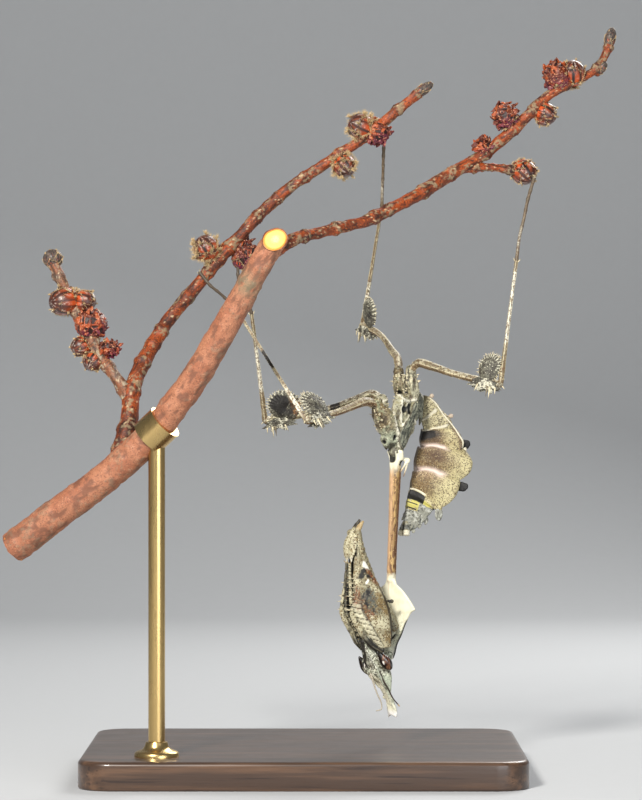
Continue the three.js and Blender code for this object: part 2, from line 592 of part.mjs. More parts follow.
piece('perch_stem', 'bark', [], (grow) => limb(
  { through: STEM, width: [2.8, 2.75, 2.6, 2.55, 2.4, 2.3, 2.1, 1.95], sides: 10, steps: 11 }, grow));

for (const [name, { line, radius, buds }] of Object.entries(TWIGS)) {
  const meets = name === 'perch_twig_left' ? ['perch_twig_upper'] : ['perch_stem'];
  piece(name, 'bark', meets, (grow) => {
    const wood = limb({ through: line.map(at), width: radius, sides: 6, steps: line.length + 1 }, grow);
    const knobs = buds.map((made) => bud(made, grow));
    const spur = name === 'perch_twig_right'
      ? [limb({ through: SPUR, width: [0.8, 0.75, 0.65, 0.7], sides: 6, steps: 3 }, grow), bud(SPUR_BUD, grow)]
      : [];
    return joined(wood, ...knobs, ...spur);
  });
}

// ---------------------------------------------------------------- display stand
const ROD_TOP = at([-25.6, -19.8, 62.0]); // on the stem's middle line

piece('stand_base', 'base', [], () => {
  const { length, depth, thickness, corner, bevel } = BASE;
  const [x, y] = [length / 2 - bevel, depth / 2 - bevel];
  const outline = new THREE.Shape();
  outline.moveTo(-x + corner, -y);
  outline.lineTo(x - corner, -y).absarc(x - corner, -y + corner, corner, -Math.PI / 2, 0);
  outline.lineTo(x, y - corner).absarc(x - corner, y - corner, corner, 0, Math.PI / 2);
  outline.lineTo(-x + corner, y).absarc(-x + corner, y - corner, corner, Math.PI / 2, Math.PI);
  outline.lineTo(-x, -y + corner).absarc(-x + corner, -y + corner, corner, Math.PI, 1.5 * Math.PI);
  const geometry = new THREE.ExtrudeGeometry(outline, {
    depth: thickness - 2 * bevel, bevelThickness: bevel, bevelSize: bevel, bevelSegments: 1, curveSegments: 3,
  });
  geometry.translate(0, 0, bevel);
  return solid(geometry);
});

piece('stand_rod', 'rod', ['stand_base', 'stand_saddle', 'perch_stem'], (grow) => limb({
  through: [vec(ROD_TOP.x, ROD_TOP.y, BASE.thickness), vec(ROD_TOP.x, ROD_TOP.y, ROD_TOP.z - 3)],
  wide: vec(1, 0, 0),
  width: ROD_RADIUS,
  sides: 14,
  steps: 1,
}, grow));

// A short collar that the stem lies in.
piece('stand_saddle', 'rod', ['perch_stem'], (grow) => limb({
  through: [ROD_TOP.clone().add(vec(-1.5, 0.6, -1.6)), ROD_TOP.clone().add(vec(1.5, -0.6, 1.2))],
  wide: vec(0, 1, 0),
  width: 3.4,
  sides: 14,
  steps: 1,
}, grow).subtract(ball(ROD_TOP.clone().add(vec(-1.4, -0.6, 3.6)), [5, 5, 3.4])));

// ---------------------------------------------------------------- assembly
const group = new THREE.Group();
for (const { name, finish, meets, make } of pieces) {
  let made = make(0);
  for (const other of meets) made = made.subtract(makers.get(other)(GAP));
  const largest = made.decompose().sort((a, b) => b.volume() - a.volume())[0];
  const shape = geometryOf(largest.simplify(FLATNESS));
  const mesh = new THREE.Mesh(shape, new THREE.MeshStandardMaterial(finishes[finish]));
  mesh.name = name;
  group.add(mesh);
}

export default group;
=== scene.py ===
"""Looks of a life-size violin mantis nymph that hangs from a budding twig on a display stand.

Shapes are worked out in millimetres in the CAD model's own frame, +Z up, and become metres when a piece
is made.
A place is X, Y, Z, or, in the animal's own frame, [towards its back, outwards to a side, height].
"""
import math

import bpy
import numpy as np
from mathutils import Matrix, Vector


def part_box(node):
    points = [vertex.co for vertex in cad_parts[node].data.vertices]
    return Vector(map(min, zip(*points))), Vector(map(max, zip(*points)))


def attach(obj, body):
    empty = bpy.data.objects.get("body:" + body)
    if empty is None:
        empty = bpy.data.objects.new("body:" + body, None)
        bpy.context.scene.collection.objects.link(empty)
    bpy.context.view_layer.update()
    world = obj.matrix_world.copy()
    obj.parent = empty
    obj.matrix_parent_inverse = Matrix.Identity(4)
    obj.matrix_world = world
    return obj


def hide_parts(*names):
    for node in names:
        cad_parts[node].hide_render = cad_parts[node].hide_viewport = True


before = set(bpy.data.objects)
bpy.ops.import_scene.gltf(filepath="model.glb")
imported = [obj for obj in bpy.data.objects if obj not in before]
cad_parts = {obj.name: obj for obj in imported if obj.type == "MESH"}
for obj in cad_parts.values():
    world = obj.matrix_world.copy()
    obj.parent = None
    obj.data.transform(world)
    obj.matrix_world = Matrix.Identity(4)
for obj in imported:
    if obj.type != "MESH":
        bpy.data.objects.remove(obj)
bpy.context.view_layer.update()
MM = 0.001


# ---------------------------------------------------------------- numbers and vectors
def vec(*values):
    return np.array(values, float)


def unit(v):
    v = np.asarray(v, float)
    return v / np.maximum(np.linalg.norm(v, axis=-1, keepdims=True), 1e-12)


def lerp(a, b, t):
    return a + (b - a) * t


def smooth(low, high, x):
    """0 below low, 1 above high, and a soft step between; low may be the larger."""
    t = np.clip((x - low) / (high - low), 0, 1)
    return t * t * (3 - 2 * t)


def bell(x, centre, width):
    return np.exp(-(((x - centre) / width) ** 2))


def along(values, t):
    """The value at share t of an evenly spaced list, on a smooth curve through it."""
    v = np.atleast_1d(np.asarray(values, float))
    if len(v) == 1:
        return np.full(np.shape(t), v[0])
    place = np.clip(np.asarray(t, float) * (len(v) - 1), 0, len(v) - 1.000001)
    i = np.floor(place).astype(int)
    f = place - i
    a, b, c, d = (v[np.clip(i + k, 0, len(v) - 1)] for k in (-1, 0, 1, 2))
    return b + 0.5 * f * (c - a + f * (2 * a - 5 * b + 4 * c - d + (3 * (b - c) + d - a) * f))


def curve(points, count):
    """Evenly spaced points on the smooth (centripetal) curve through the given ones, flat or in space."""
    p = np.asarray(points, float)
    if len(p) == 2:
        return lerp(p[0], p[1], np.linspace(0, 1, count)[:, None])
    p = np.vstack([2 * p[0] - p[1], p, 2 * p[-1] - p[-2]])
    dense = []
    for quad in zip(p, p[1:], p[2:], p[3:]):
        q = np.array(quad)
        k = np.cumsum([0, *np.sqrt(np.linalg.norm(np.diff(q, axis=0), axis=1))])
        t = np.linspace(k[1], k[2], 24, endpoint=False)[:, None]

        def mix(first, second, i, j):
            return ((k[j] - t) * first + (t - k[i]) * second) / (k[j] - k[i])

        one, two, three = (mix(q[i], q[i + 1], i, i + 1) for i in range(3))
        dense.append(mix(mix(one, two, 0, 2), mix(two, three, 1, 3), 1, 2))
    dense = np.vstack([*dense, p[-2]])
    reach = np.cumsum([0, *np.linalg.norm(np.diff(dense, axis=0), axis=1)])
    even = np.linspace(0, reach[-1], count)
    return np.stack([np.interp(even, reach, values) for values in dense.T], 1)


def length_of(line):
    return np.linalg.norm(np.diff(line, axis=0), axis=1).sum()


def nearness(points, line, radius, count=30):
    """1 on a line, falling off to about a third at `radius` from it."""
    dense = curve(line, count) if len(line) > 1 else np.asarray(line, float)
    away = np.full(len(points), 1e9)
    for spot in dense:
        away = np.minimum(away, ((points - spot) ** 2).sum(1))
    return np.exp(-away / radius**2)


# ---------------------------------------------------------------- seeded noise on points
def scatter(cells, seed):
    """An even number from 0 to 1 for each cell of a lattice."""
    c = cells.astype(np.int64)
    h = c[..., 0] * 374761393 + c[..., 1] * 668265263 + c[..., 2] * 1442695041 + seed * 974634777
    h = (h ^ (h >> 13)) * 1274126177 & 0xFFFFFFFF
    h = (h ^ (h >> 15)) * 2246822519 & 0xFFFFFFFF
    return ((h ^ (h >> 16)) & 0xFFFFFF) / 0xFFFFFF


CORNERS = np.array([[i, j, k] for i in (0, 1) for j in (0, 1) for k in (0, 1)])
NEARBY = np.array([[i, j, k] for i in (-1, 0, 1) for j in (-1, 0, 1) for k in (-1, 0, 1)])


def noise(points, size, seed=0):
    """Smooth noise from -1 to 1 whose lumps are about `size` mm across."""
    p = np.asarray(points, float) / size
    base = np.floor(p)
    f = p - base
    f = f * f * (3 - 2 * f)
    total = 0
    for corner in CORNERS:
        weight = np.prod(np.where(corner, f, 1 - f), axis=-1)
        total = total + weight * scatter(base + corner, seed)
    return 2 * total - 1


def rough(points, size, seed=0, levels=3):
    """Noise with finer and weaker noise on it."""
    return sum(noise(points, size / 2**k, seed + k) / 2**k for k in range(levels)) / 1.6


def grains(points, size, seed=0):
    """For each point, how far the nearest of scattered seeds is, in cells, and that seed's own number."""
    p = np.asarray(points, float) / size
    base = np.floor(p)
    nearest = np.full(p.shape[:-1], 9.0)
    number = np.zeros(p.shape[:-1])
    for step in NEARBY:
        cell = base + step
        place = cell + np.stack([scatter(cell, seed + k) for k in (1, 2, 3)], -1)
        away = np.linalg.norm(place - p, axis=-1)
        closer = away < nearest
        nearest = np.where(closer, away, nearest)
        number = np.where(closer, scatter(cell, seed + 4), number)
    return nearest, number


# ---------------------------------------------------------------- shells: points, faces and values
class Shell:
    """Points in millimetres, faces of three or four corners, and the values that the materials read."""

    def __init__(self, points, faces, **values):
        self.points = np.asarray(points, float)
        self.faces = [np.asarray(f, int).reshape(-1, np.shape(f)[-1]) for f in faces if len(f)]
        self.values = {}
        self.set(**values)

    def set(self, **values):
        for name, value in values.items():
            self.values[name] = np.broadcast_to(np.asarray(value, float), len(self.points)).copy()
        return self

    def normals(self):
        total = np.zeros_like(self.points)
        for f in self.faces:
            p = self.points[f]
            n = np.cross(p[:, 2] - p[:, 0], p[:, -1] - p[:, 1] if f.shape[1] == 4 else p[:, 1] - p[:, 0])
            n = n if f.shape[1] == 4 else -n
            for corner in range(f.shape[1]):
                np.add.at(total, f[:, corner], n)
        return unit(total)

    def push(self, amount):
        """Moves each point along its normal."""
        self.points = self.points + self.normals() * np.reshape(amount, (-1, 1))
        return self


def joined(shells):
    shells = list(shells)
    names = sorted({name for s in shells for name in s.values})
    start = np.cumsum([0, *(len(s.points) for s in shells)])
    faces = []
    for width in (3, 4):
        faces.append(np.vstack([f + i for s, i in zip(shells, start) for f in s.faces if f.shape[1] == width]
                               or [np.zeros((0, width), int)]))
    values = {n: np.concatenate([s.values.get(n, np.zeros(len(s.points))) for s in shells]) for n in names}
    return Shell(np.vstack([s.points for s in shells]), faces, **values)


def loft(rings, **values):
    """A closed shell through rings of points, with a fan at each end. A value has a number for each point."""
    rows, columns = rings.shape[:2]
    points = np.vstack([rings.reshape(-1, 3), rings[0].mean(0), rings[-1].mean(0)])
    i, j = (index.ravel() for index in np.meshgrid(np.arange(rows - 1), np.arange(columns), indexing="ij"))
    k = (j + 1) % columns
    walls = np.stack([i * columns + j, i * columns + k, (i + 1) * columns + k, (i + 1) * columns + j], 1)
    j = np.arange(columns)
    k = (j + 1) % columns
    first = np.stack([k, j, np.full(columns, rows * columns)], 1)
    last = np.stack([j + (rows - 1) * columns, k + (rows - 1) * columns, np.full(columns, rows * columns + 1)],
                    1)
    filled = {}
    for name, value in values.items():
        v = np.broadcast_to(value, (rows, columns))
        filled[name] = np.concatenate([v.ravel(), [v[0].mean(), v[-1].mean()]])
    return Shell(points, [walls, np.vstack([first, last])], **filled)


def rails(line, wide):
    """The directions ahead, across and over at each point of a line."""
    ahead = unit(np.gradient(line, axis=0))
    wide = np.broadcast_to(np.asarray(wide, float), line.shape)
    across = unit(wide - (wide * ahead).sum(1, keepdims=True) * ahead)
    return ahead, across, np.cross(ahead, across)


def limb(through, half, depth=None, wide=(0, 0, 1), sides=16, steps=24, ridges=0, ridge=0.0, ends=(1, 1),
         shift=None):
    """A round or ridged section swept along a smooth curve, with domed ends.

    half and depth are lists of half sizes across and over. Each point carries `t`, its share of the length,
    and `turn`, its share of the way round. ends gives how far each end's dome stands out, in half widths.
    """
    line = curve(through, steps + 1) if shift is None else shift(curve(through, steps + 1))
    ahead, across, over = rails(line, wide)
    t = np.linspace(0, 1, steps + 1)
    w, d = along(half, t), along(half if depth is None else depth, t)
    dome = np.array([0.98, 0.86, 0.6, 0.28])
    lift = np.sqrt(1 - dome**2)[::-1]
    scale = np.ones(steps + 1)
    for end, index in ((0, 0), (1, -1)):
        if not ends[end]:
            continue
        out = (1 if end else -1) * ends[end] * w[index] * (lift[::-1] if end else lift)
        extra = line[index] + ahead[index] * out[:, None]
        squeeze = dome if end else dome[::-1]
        order = (lambda a, b: np.concatenate([a, b])) if end else (lambda a, b: np.concatenate([b, a]))
        copies = [np.repeat(a[[index]], 4, 0) for a in (ahead, across, over)]
        ahead, across, over = (order(a, c) for a, c in zip((ahead, across, over), copies))
        line, scale = order(line, extra), order(scale, squeeze)
        t, w, d = (order(a, np.full(4, float(b))) for a, b in ((t, end), (w, w[index]), (d, d[index])))
    turn = np.arange(sides) / sides
    angle = 2 * math.pi * turn
    keel = 1 + (ridge * np.abs(np.cos(ridges * angle / 2)) ** 4 if ridges else 0 * angle)
    c, s = keel * np.cos(angle), keel * np.sin(angle)
    rings = (line[:, None] + across[:, None] * (scale * w)[:, None, None] * c[None, :, None]
             + over[:, None] * (scale * d)[:, None, None] * s[None, :, None])
    return loft(rings, t=np.repeat(t[:, None], sides, 1), turn=np.repeat(turn[None], len(line), 0))


def ball(centre, radii, axis=(0, 0, 1), sides=24, rows=14, wide=None):
    """An ellipsoid whose third radius lies along axis. `t` runs from one end of that axis to the other."""
    axis = unit(axis)
    wide = np.array([1.0, 0, 0]) if wide is None else np.asarray(wide, float)
    if abs(unit(wide) @ axis) > 0.95:
        wide = np.array([0, 1.0, 0])
    x = unit(wide - (wide @ axis) * axis)
    y = np.cross(axis, x)
    polar = np.linspace(math.pi, 0, rows + 2)[1:-1]
    turn = np.arange(sides) / sides
    a = 2 * math.pi * turn
    rings = (np.asarray(centre, float) + radii[2] * np.cos(polar)[:, None, None] * axis
             + np.sin(polar)[:, None, None] * (radii[0] * np.cos(a)[None, :, None] * x
                                               + radii[1] * np.sin(a)[None, :, None] * y))
    t = np.repeat(((1 - np.cos(np.pi - polar)) / 2)[:, None], sides, 1)
    return loft(rings, t=t, turn=np.repeat(turn[None], rows, 0))


def spine(root, tip, radius, bend=(0, 0, 0), sides=6, steps=4):
    """A tapering thorn. bend moves its middle sideways."""
    root, tip = np.asarray(root, float), np.asarray(tip, float)
    middle = (root + tip) / 2 + np.asarray(bend, float)
    taper = [radius, radius * 0.8, radius * 0.5, radius * 0.06]
    wide = (0.3, 0.5, 0.8) if abs(unit(tip - root)[0]) > 0.9 else (1, 0.2, 0.1)
    return limb([root, middle, tip], taper, wide=wide, sides=sides, steps=steps, ends=(0, 0))


def slab(outline, origin, first, second, thickness, rows=10, dome=0.5, rim=0.25):
    """A leaf-like plate: an outline filled in rings from its middle, thick there and thin at the rim.

    Each point carries `edge`, from 0 in the middle to 1 at the rim, and `side`, +1 or -1 for its two faces.
    """
    outline = np.asarray(outline, float)
    count = len(outline)
    middle = outline.mean(0)
    share = np.linspace(0, 1, rows + 1)[1:] ** 0.8
    x, y = unit(first), unit(second)
    z = unit(np.cross(x, y))
    y = np.cross(z, x)
    top, value = [], []
    for face, shares in ((-1, share), (1, share[::-1][1:])):
        for s in shares:
            flat = lerp(middle, outline, s)
            lift = face * thickness * (rim + (1 - rim) * (1 - s**2) ** dome) / 2 if s < 1 else 0
            top.append(origin + flat[:, :1] * x + flat[:, 1:] * y + lift * z)
            value.append((s, face))
    rings = np.array(top)
    edge = np.repeat(np.array([v[0] for v in value])[:, None], count, 1)
    side = np.repeat(np.array([v[1] for v in value], float)[:, None], count, 1)
    return loft(rings, edge=edge, side=side)


def thorns(roots, tips, radius, bend=0.0, sides=5, **values):
    """Many tapering spikes at once, each bent upwards by a share of its length."""
    roots, tips = np.atleast_2d(roots).astype(float), np.atleast_2d(tips).astype(float)
    count = len(roots)
    way = tips - roots
    length = np.linalg.norm(way, axis=1, keepdims=True)
    wide = np.where(np.abs(unit(way)[:, 2:]) > 0.9, vec(1, 0, 0), vec(0, 0, 1))
    x = unit(np.cross(way, wide))
    y = unit(np.cross(way, x))
    thick = np.broadcast_to(np.reshape(radius, (-1, 1)), (count, 1))
    angle = 2 * math.pi * np.arange(sides) / sides
    round_ = np.cos(angle)[None, :, None] * x[:, None] + np.sin(angle)[None, :, None] * y[:, None]
    rings = [(roots + s * way + bend * length * y * math.sin(math.pi * s))[:, None]
             + round_ * (thick * w)[:, None]
             for s, w in ((0, 1), (0.45, 0.72), (0.8, 0.4))]
    points = np.concatenate([*rings, roots[:, None], tips[:, None]], 1)
    j = np.arange(sides)
    k = (j + 1) % sides
    quads = np.concatenate([np.stack([j + r, k + r, k + r + sides, j + r + sides], 1) for r in (0, sides)])
    ends = np.concatenate([np.stack([k, j, j * 0 + 3 * sides], 1),
                           np.stack([j + 2 * sides, k + 2 * sides, j * 0 + 3 * sides + 1], 1)])
    start = (np.arange(count) * (3 * sides + 2))[:, None, None]
    share = np.concatenate([np.repeat([0, 0.45, 0.8], sides), [0, 1]])
    filled = {name: np.repeat(np.broadcast_to(value, count), 3 * sides + 2) for name, value in values.items()}
    return Shell(points.reshape(-1, 3), [(quads + start).reshape(-1, 4), (ends + start).reshape(-1, 3)],
                 tip=np.tile(share, count), **filled)


# ---------------------------------------------------------------- from shells to Blender pieces
def mesh_of(name, shell, scale=1.0):
    mesh = bpy.data.meshes.new(name)
    sizes = np.concatenate([np.full(len(f), f.shape[1]) for f in shell.faces])
    corners = np.concatenate([f.ravel() for f in shell.faces])
    mesh.vertices.add(len(shell.points))
    mesh.vertices.foreach_set("co", (shell.points * scale).ravel())
    mesh.loops.add(len(corners))
    mesh.loops.foreach_set("vertex_index", corners)
    mesh.polygons.add(len(sizes))
    mesh.polygons.foreach_set("loop_start", np.concatenate([[0], np.cumsum(sizes)[:-1]]))
    mesh.update(calc_edges=True)
    mesh.validate()
    return mesh


def fused(shell, voxel):
    """One closed skin round overlapping shells, smoothed a little. Its values are lost."""
    mesh = mesh_of("fused", shell)
    thing = bpy.data.objects.new("fused", mesh)
    bpy.context.scene.collection.objects.link(thing)
    remesh = thing.modifiers.new("remesh", "REMESH")
    remesh.mode = "VOXEL"
    remesh.voxel_size = voxel
    soften = thing.modifiers.new("smooth", "SMOOTH")
    soften.factor = 0.5
    soften.iterations = 2
    found = thing.evaluated_get(bpy.context.evaluated_depsgraph_get()).to_mesh()
    points = np.empty(len(found.vertices) * 3)
    found.vertices.foreach_get("co", points)
    corners = np.empty(len(found.loops), int)
    found.loops.foreach_get("vertex_index", corners)
    sizes = np.empty(len(found.polygons), int)
    found.polygons.foreach_get("loop_total", sizes)
    start = np.concatenate([[0], np.cumsum(sizes)[:-1]])
    faces = [corners[start[sizes == n][:, None] + np.arange(n)] for n in (3, 4)]
    made = Shell(points.reshape(-1, 3), faces)
    bpy.data.objects.remove(thing)
    bpy.data.meshes.remove(mesh)
    return made


def piece(name, shell, material, replaces=(), flat_below=None):
    """Makes a Blender object of a shell, riding on the model, with the values that its material reads."""
    mesh = mesh_of(name, shell, MM)
    for key in sorted({node.attribute_name for node in material.node_tree.nodes if node.type == "ATTRIBUTE"}):
        value = shell.values.get(key, np.zeros(len(shell.points)))
        mesh.attributes.new(key, "FLOAT", "POINT").data.foreach_set("value", value.astype(np.float32))
    mesh.shade_smooth()
    if flat_below is not None:
        mesh.set_sharp_from_angle(angle=math.radians(flat_below))
    mesh.materials.append(material)
    thing = bpy.data.objects.new(name, mesh)
    bpy.context.scene.collection.objects.link(thing)
    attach(thing, "root")
    if replaces:
        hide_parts(*replaces)
    return thing


# ---------------------------------------------------------------- materials
def srgb(*levels):
    """A colour as it shows, 0 to 255, in the linear numbers that the shaders take."""
    return tuple((c / 255 / 12.92) if c <= 10 else ((c / 255 + 0.055) / 1.055) ** 2.4 for c in levels)


def linear(*levels):
    return levels


class Paint:
    """A Principled material put together from masks. Sizes are in millimetres, masks run from 0 to 1."""

    def __init__(self, name, base, roughness, tone=srgb, **sockets):
        self.material = bpy.data.materials.new(name)
        self.material.use_nodes = True
        self.tree = self.material.node_tree
        self.shader = self.tree.nodes["Principled BSDF"]
        self.shader.inputs["Roughness"].default_value = roughness
        for socket, value in sockets.items():
            self.shader.inputs[socket.replace("_", " ")].default_value = value
        self.place = self.tree.nodes.new("ShaderNodeTexCoord").outputs["Object"]
        self.tone = tone
        self.colour = self.rgb(base)
        self.height = None

    def node(self, kind, inputs=(), **settings):
        made = self.tree.nodes.new(kind)
        for key, value in settings.items():
            setattr(made, key, value)
        for socket, value in dict(inputs).items():
            if isinstance(value, bpy.types.NodeSocket):
                self.tree.links.new(value, made.inputs[socket])
            else:
                made.inputs[socket].default_value = value
        return made

    def rgb(self, colour):
        made = self.tree.nodes.new("ShaderNodeRGB")
        made.outputs[0].default_value = (*self.tone(*colour), 1)
        return made.outputs[0]

    def value(self, name):
        return self.node("ShaderNodeAttribute", attribute_name=name).outputs["Fac"]

    def noise(self, size, detail=3.0, seed=0.0, stretch=None):
        """Cloudy noise; stretch squeezes the place along the axes so that the clouds come out longer there."""
        where = self.place
        if stretch:
            where = self.node("ShaderNodeVectorMath", {0: where, 1: stretch}, operation="MULTIPLY").outputs[0]
        shifted = self.node("ShaderNodeVectorMath", {0: where, 1: (seed, seed * 0.7, seed * 1.3)},
                            operation="ADD")
        made = self.node("ShaderNodeTexNoise",
                         {"Vector": shifted.outputs[0], "Scale": 1 / (size * MM), "Detail": detail})
        return made.outputs["Fac"]

    def dots(self, size, share=0.5, spread=0.32, soft=0.1):
        """Round dots, one in each of a share of cells that are `size` mm across."""
        made = self.node("ShaderNodeTexVoronoi", {"Vector": self.place, "Scale": 1 / (size * MM)})
        near = self.ramp(made.outputs["Distance"], spread, spread - soft)
        split = self.node("ShaderNodeSeparateColor", {"Color": made.outputs["Color"]}).outputs[0]
        return self.times(near, self.ramp(split, share, share - 0.02))

    def ramp(self, value, low, high):
        """A soft step, to 0 at low and 1 at high, whichever is larger."""
        made = self.node("ShaderNodeMapRange", {"Value": value, "From Min": low, "From Max": high},
                         interpolation_type="SMOOTHSTEP", clamp=True)
        return made.outputs["Result"]

    def times(self, *values):
        found = values[0]
        for value in values[1:]:
            found = self.node("ShaderNodeMath", {0: found, 1: value}, operation="MULTIPLY",
                              use_clamp=True).outputs[0]
        return found

    def mask(self, rule):
        """A mask from a short rule, which is one of these:

        "value" or ("value", low, high): a value of the shell, or a soft step on it;
        (size, detail, seed) or (size, detail, seed, low, high, stretch): noise, or a soft step on it;
        ("dots", size, share, spread): dots;
        or a mask that is already made.
        """
        if isinstance(rule, bpy.types.NodeSocket):
            return rule
        if isinstance(rule, str):
            return self.value(rule)
        first, *rest = rule
        if first == "dots":
            return self.dots(*rest)
        if isinstance(first, str):
            return self.ramp(self.value(first), *rest)
        clouds = self.noise(first, *rest[:2], *rest[4:])
        return self.ramp(clouds, *rest[2:4]) if rest[2:] else clouds

    def cover(self, layers):
        """Paints layers of [colour, amount, masks that multiply], each over what is there."""
        for colour, amount, *rules in layers:
            factor = self.times(*map(self.mask, rules), *([amount] if amount != 1 else []))
            self.colour = self.node("ShaderNodeMix", {0: factor, 6: self.colour, 7: self.rgb(colour)},
                                    data_type="RGBA").outputs[2]

    def raise_by(self, rule, height):
        """Adds relief: the mask's 1 stands `height` mm above its 0."""
        step = self.node("ShaderNodeMath", {0: self.mask(rule), 1: height * MM},
                         operation="MULTIPLY").outputs[0]
        if self.height is not None:
            step = self.node("ShaderNodeMath", {0: self.height, 1: step}, operation="ADD").outputs[0]
        self.height = step

    def gloss(self, low, high, rule):
        """Roughness from low to high as the mask goes from 0 to 1."""
        made = self.node("ShaderNodeMapRange", {"Value": self.mask(rule), "To Min": low, "To Max": high})
        self.tree.links.new(made.outputs["Result"], self.shader.inputs["Roughness"])

    def done(self, relief=(), gloss=None):
        for rule, height in relief:
            self.raise_by(rule, height)
        if gloss:
            self.gloss(*gloss)
        self.tree.links.new(self.colour, self.shader.inputs["Base Color"])
        if self.height is not None:
            bump = self.node("ShaderNodeBump", {"Height": self.height, "Strength": 1.0, "Distance": 1.0})
            self.tree.links.new(bump.outputs["Normal"], self.shader.inputs["Normal"])
        return self.material


def painted(name, base, roughness, layers, relief=(), gloss=None, **options):
    """A finished material. relief lists [mask, height in mm] and gloss is [low, high, mask]."""
    paint = Paint(name, base, roughness, **options)
    paint.cover(layers)
    return paint.done(relief, gloss)


# ---------------------------------------------------------------- camera, floor and light
VIEW = {"place": (3, -600, 67), "lens": 150, "sensor": 36}  # mm; the sensor's long side lies upright


def camera():
    made = bpy.data.cameras.new("view")
    made.lens = VIEW["lens"]
    made.sensor_width = VIEW["sensor"]
    made.clip_start = 0.01
    made.clip_end = 20
    thing = bpy.data.objects.new("view", made)
    thing.location = [v * MM for v in VIEW["place"]]
    thing.rotation_euler = (math.radians(90), 0, 0)
    bpy.context.scene.collection.objects.link(thing)
    bpy.context.scene.camera = thing


def sweep_floor():
    """A pale floor that curves up into a backdrop well behind the model."""
    back, radius, top, half = 420, 260, 900, 1400
    bend = [(back + radius * math.sin(a), radius * (1 - math.cos(a))) for a in np.linspace(0, math.pi / 2, 24)]
    side = [(-1100, 0), *bend, (back + radius, top)]
    points = [(x, y, z) for y, z in side for x in (-half, half)]
    faces = [[2 * i, 2 * i + 1, 2 * i + 3, 2 * i + 2] for i in range(len(side) - 1)]
    paper = painted("floor_paper", (0.52, 0.535, 0.55), 0.9, [((0.485, 0.50, 0.515), 0.5, (3.0, 4, 0))],
                    tone=linear)
    mesh = mesh_of("floor", Shell(points, [faces]), MM)
    mesh.shade_smooth()
    mesh.materials.append(paper)
    thing = bpy.data.objects.new("floor", mesh)
    bpy.context.scene.collection.objects.link(thing)


def lamp(name, place, target, size, power, colour=(1, 1, 1)):
    made = bpy.data.lights.new(name, "AREA")
    made.shape = "DISK"
    made.size = size * MM
    made.energy = power
    made.color = colour
    thing = bpy.data.objects.new(name, made)
    thing.location = [v * MM for v in place]
    away = np.asarray(target, float) - np.asarray(place, float)
    thing.rotation_euler = Vector(away).to_track_quat("-Z", "Y").to_euler()
    bpy.context.scene.collection.objects.link(thing)


def lights():
    middle = (0, 0, 70)
    lamp("key", (-190, -470, 350), middle, 110, 4.6, (1, 0.965, 0.91))
    lamp("fill", (230, -450, 60), middle, 320, 1.25, (0.95, 0.97, 1))
    lamp("back", (180, 330, 330), middle, 260, 1.7, (1, 0.98, 0.95))
    world = bpy.data.worlds.new("room")
    world.use_nodes = True
    world.node_tree.nodes["Background"].inputs["Color"].default_value = (0.92, 0.95, 1, 1)
    world.node_tree.nodes["Background"].inputs["Strength"].default_value = 0.19
    bpy.context.scene.world = world
    bpy.context.scene.view_settings.view_transform = "Standard"


camera()
sweep_floor()
lights()


# ---------------------------------------------------------------- display stand
def stand():
    low, high = (np.array(corner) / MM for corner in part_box("stand_base"))
    size, corner, bevel = high - low, 6, 0.8
    centre = (low + high) / 2

    def outline(inset):
        reach = size[:2] / 2 - inset
        r = corner - inset
        ring = []
        for k, (sx, sy) in enumerate(((1, -1), (1, 1), (-1, 1), (-1, -1))):
            for a in np.linspace(0, math.pi / 2, 13) + math.pi / 2 * (k - 1):
                ring.append((centre[0] + sx * (reach[0] - r) + r * math.cos(a),
                             centre[1] + sy * (reach[1] - r) + r * math.sin(a)))
        return ring

    arc = np.linspace(0, math.pi / 2, 7)
    bottom = [[(*p, low[2] + 0.4 * (1 - math.cos(a))) for p in outline(0.4 * (1 - math.sin(a)))] for a in arc]
    top = [[(*p, high[2] - bevel * (1 - math.sin(a))) for p in outline(bevel * (1 - math.cos(a)))] for a in arc]
    closing = [[(*p, high[2]) for p in outline(bevel + 1.2)], [(*p, high[2]) for p in outline(bevel + 4)]]
    wood = painted("base_wood", (0.052, 0.028, 0.017), 0.32, [
        ((0.125, 0.066, 0.036), 1, (1.6, 5, 3, 0.42, 0.68, (0.05, 1, 1))),
        ((0.024, 0.012, 0.008), 0.8, (0.45, 3, 9, 0.56, 0.7, (0.03, 1, 1))),
    ], relief=[((0.35, 2, 5, 0.35, 0.65, (0.03, 1, 1)), 0.006)], gloss=(0.28, 0.42, (6, 3, 0)),
        tone=linear, Coat_Weight=0.35, Coat_Roughness=0.12)
    piece("base_block", loft(np.array(bottom + top + closing)), wood, ["stand_base"], flat_below=40)

    brass = Paint("rod_brass", (0.66, 0.47, 0.20), 0.26, linear, Metallic=1.0)
    brass.cover([((0.50, 0.34, 0.14), 0.6, (2.4, 4, 2))])
    finish = brass.done(relief=[(brass.noise(0.12, 2, 0, (1, 1, 0.04)), 0.0012)],
                        gloss=(0.2, 0.36, brass.noise(0.9, 3, 0, (1, 1, 0.1))))
    low, high = (np.array(corner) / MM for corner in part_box("stand_rod"))
    foot = vec(*((low + high) / 2)[:2], low[2])
    rod = limb([foot, vec(foot[0], foot[1], high[2])], (high[0] - low[0]) / 2, wide=(1, 0, 0),
               sides=48, steps=4, ends=(0, 0))
    turned = np.array([[3.9, 0], [3.9, 0.5], [3.7, 0.8], [3.2, 1.0], [2.5, 1.25], [2.15, 1.7], [2.0, 2.2],
                       [1.9, 2.5], [1.55, 2.6]])
    angle = np.linspace(0, 2 * math.pi, 65)[:-1]
    rosette = np.stack([np.stack([foot[0] + r * np.cos(angle), foot[1] + r * np.sin(angle), foot[2]
                                  + 0 * angle + z], 1)
                        for r, z in turned])
    piece("rod", joined([rod, loft(rosette)]), finish, ["stand_rod"], flat_below=35)
    return finish


BRASS = stand()


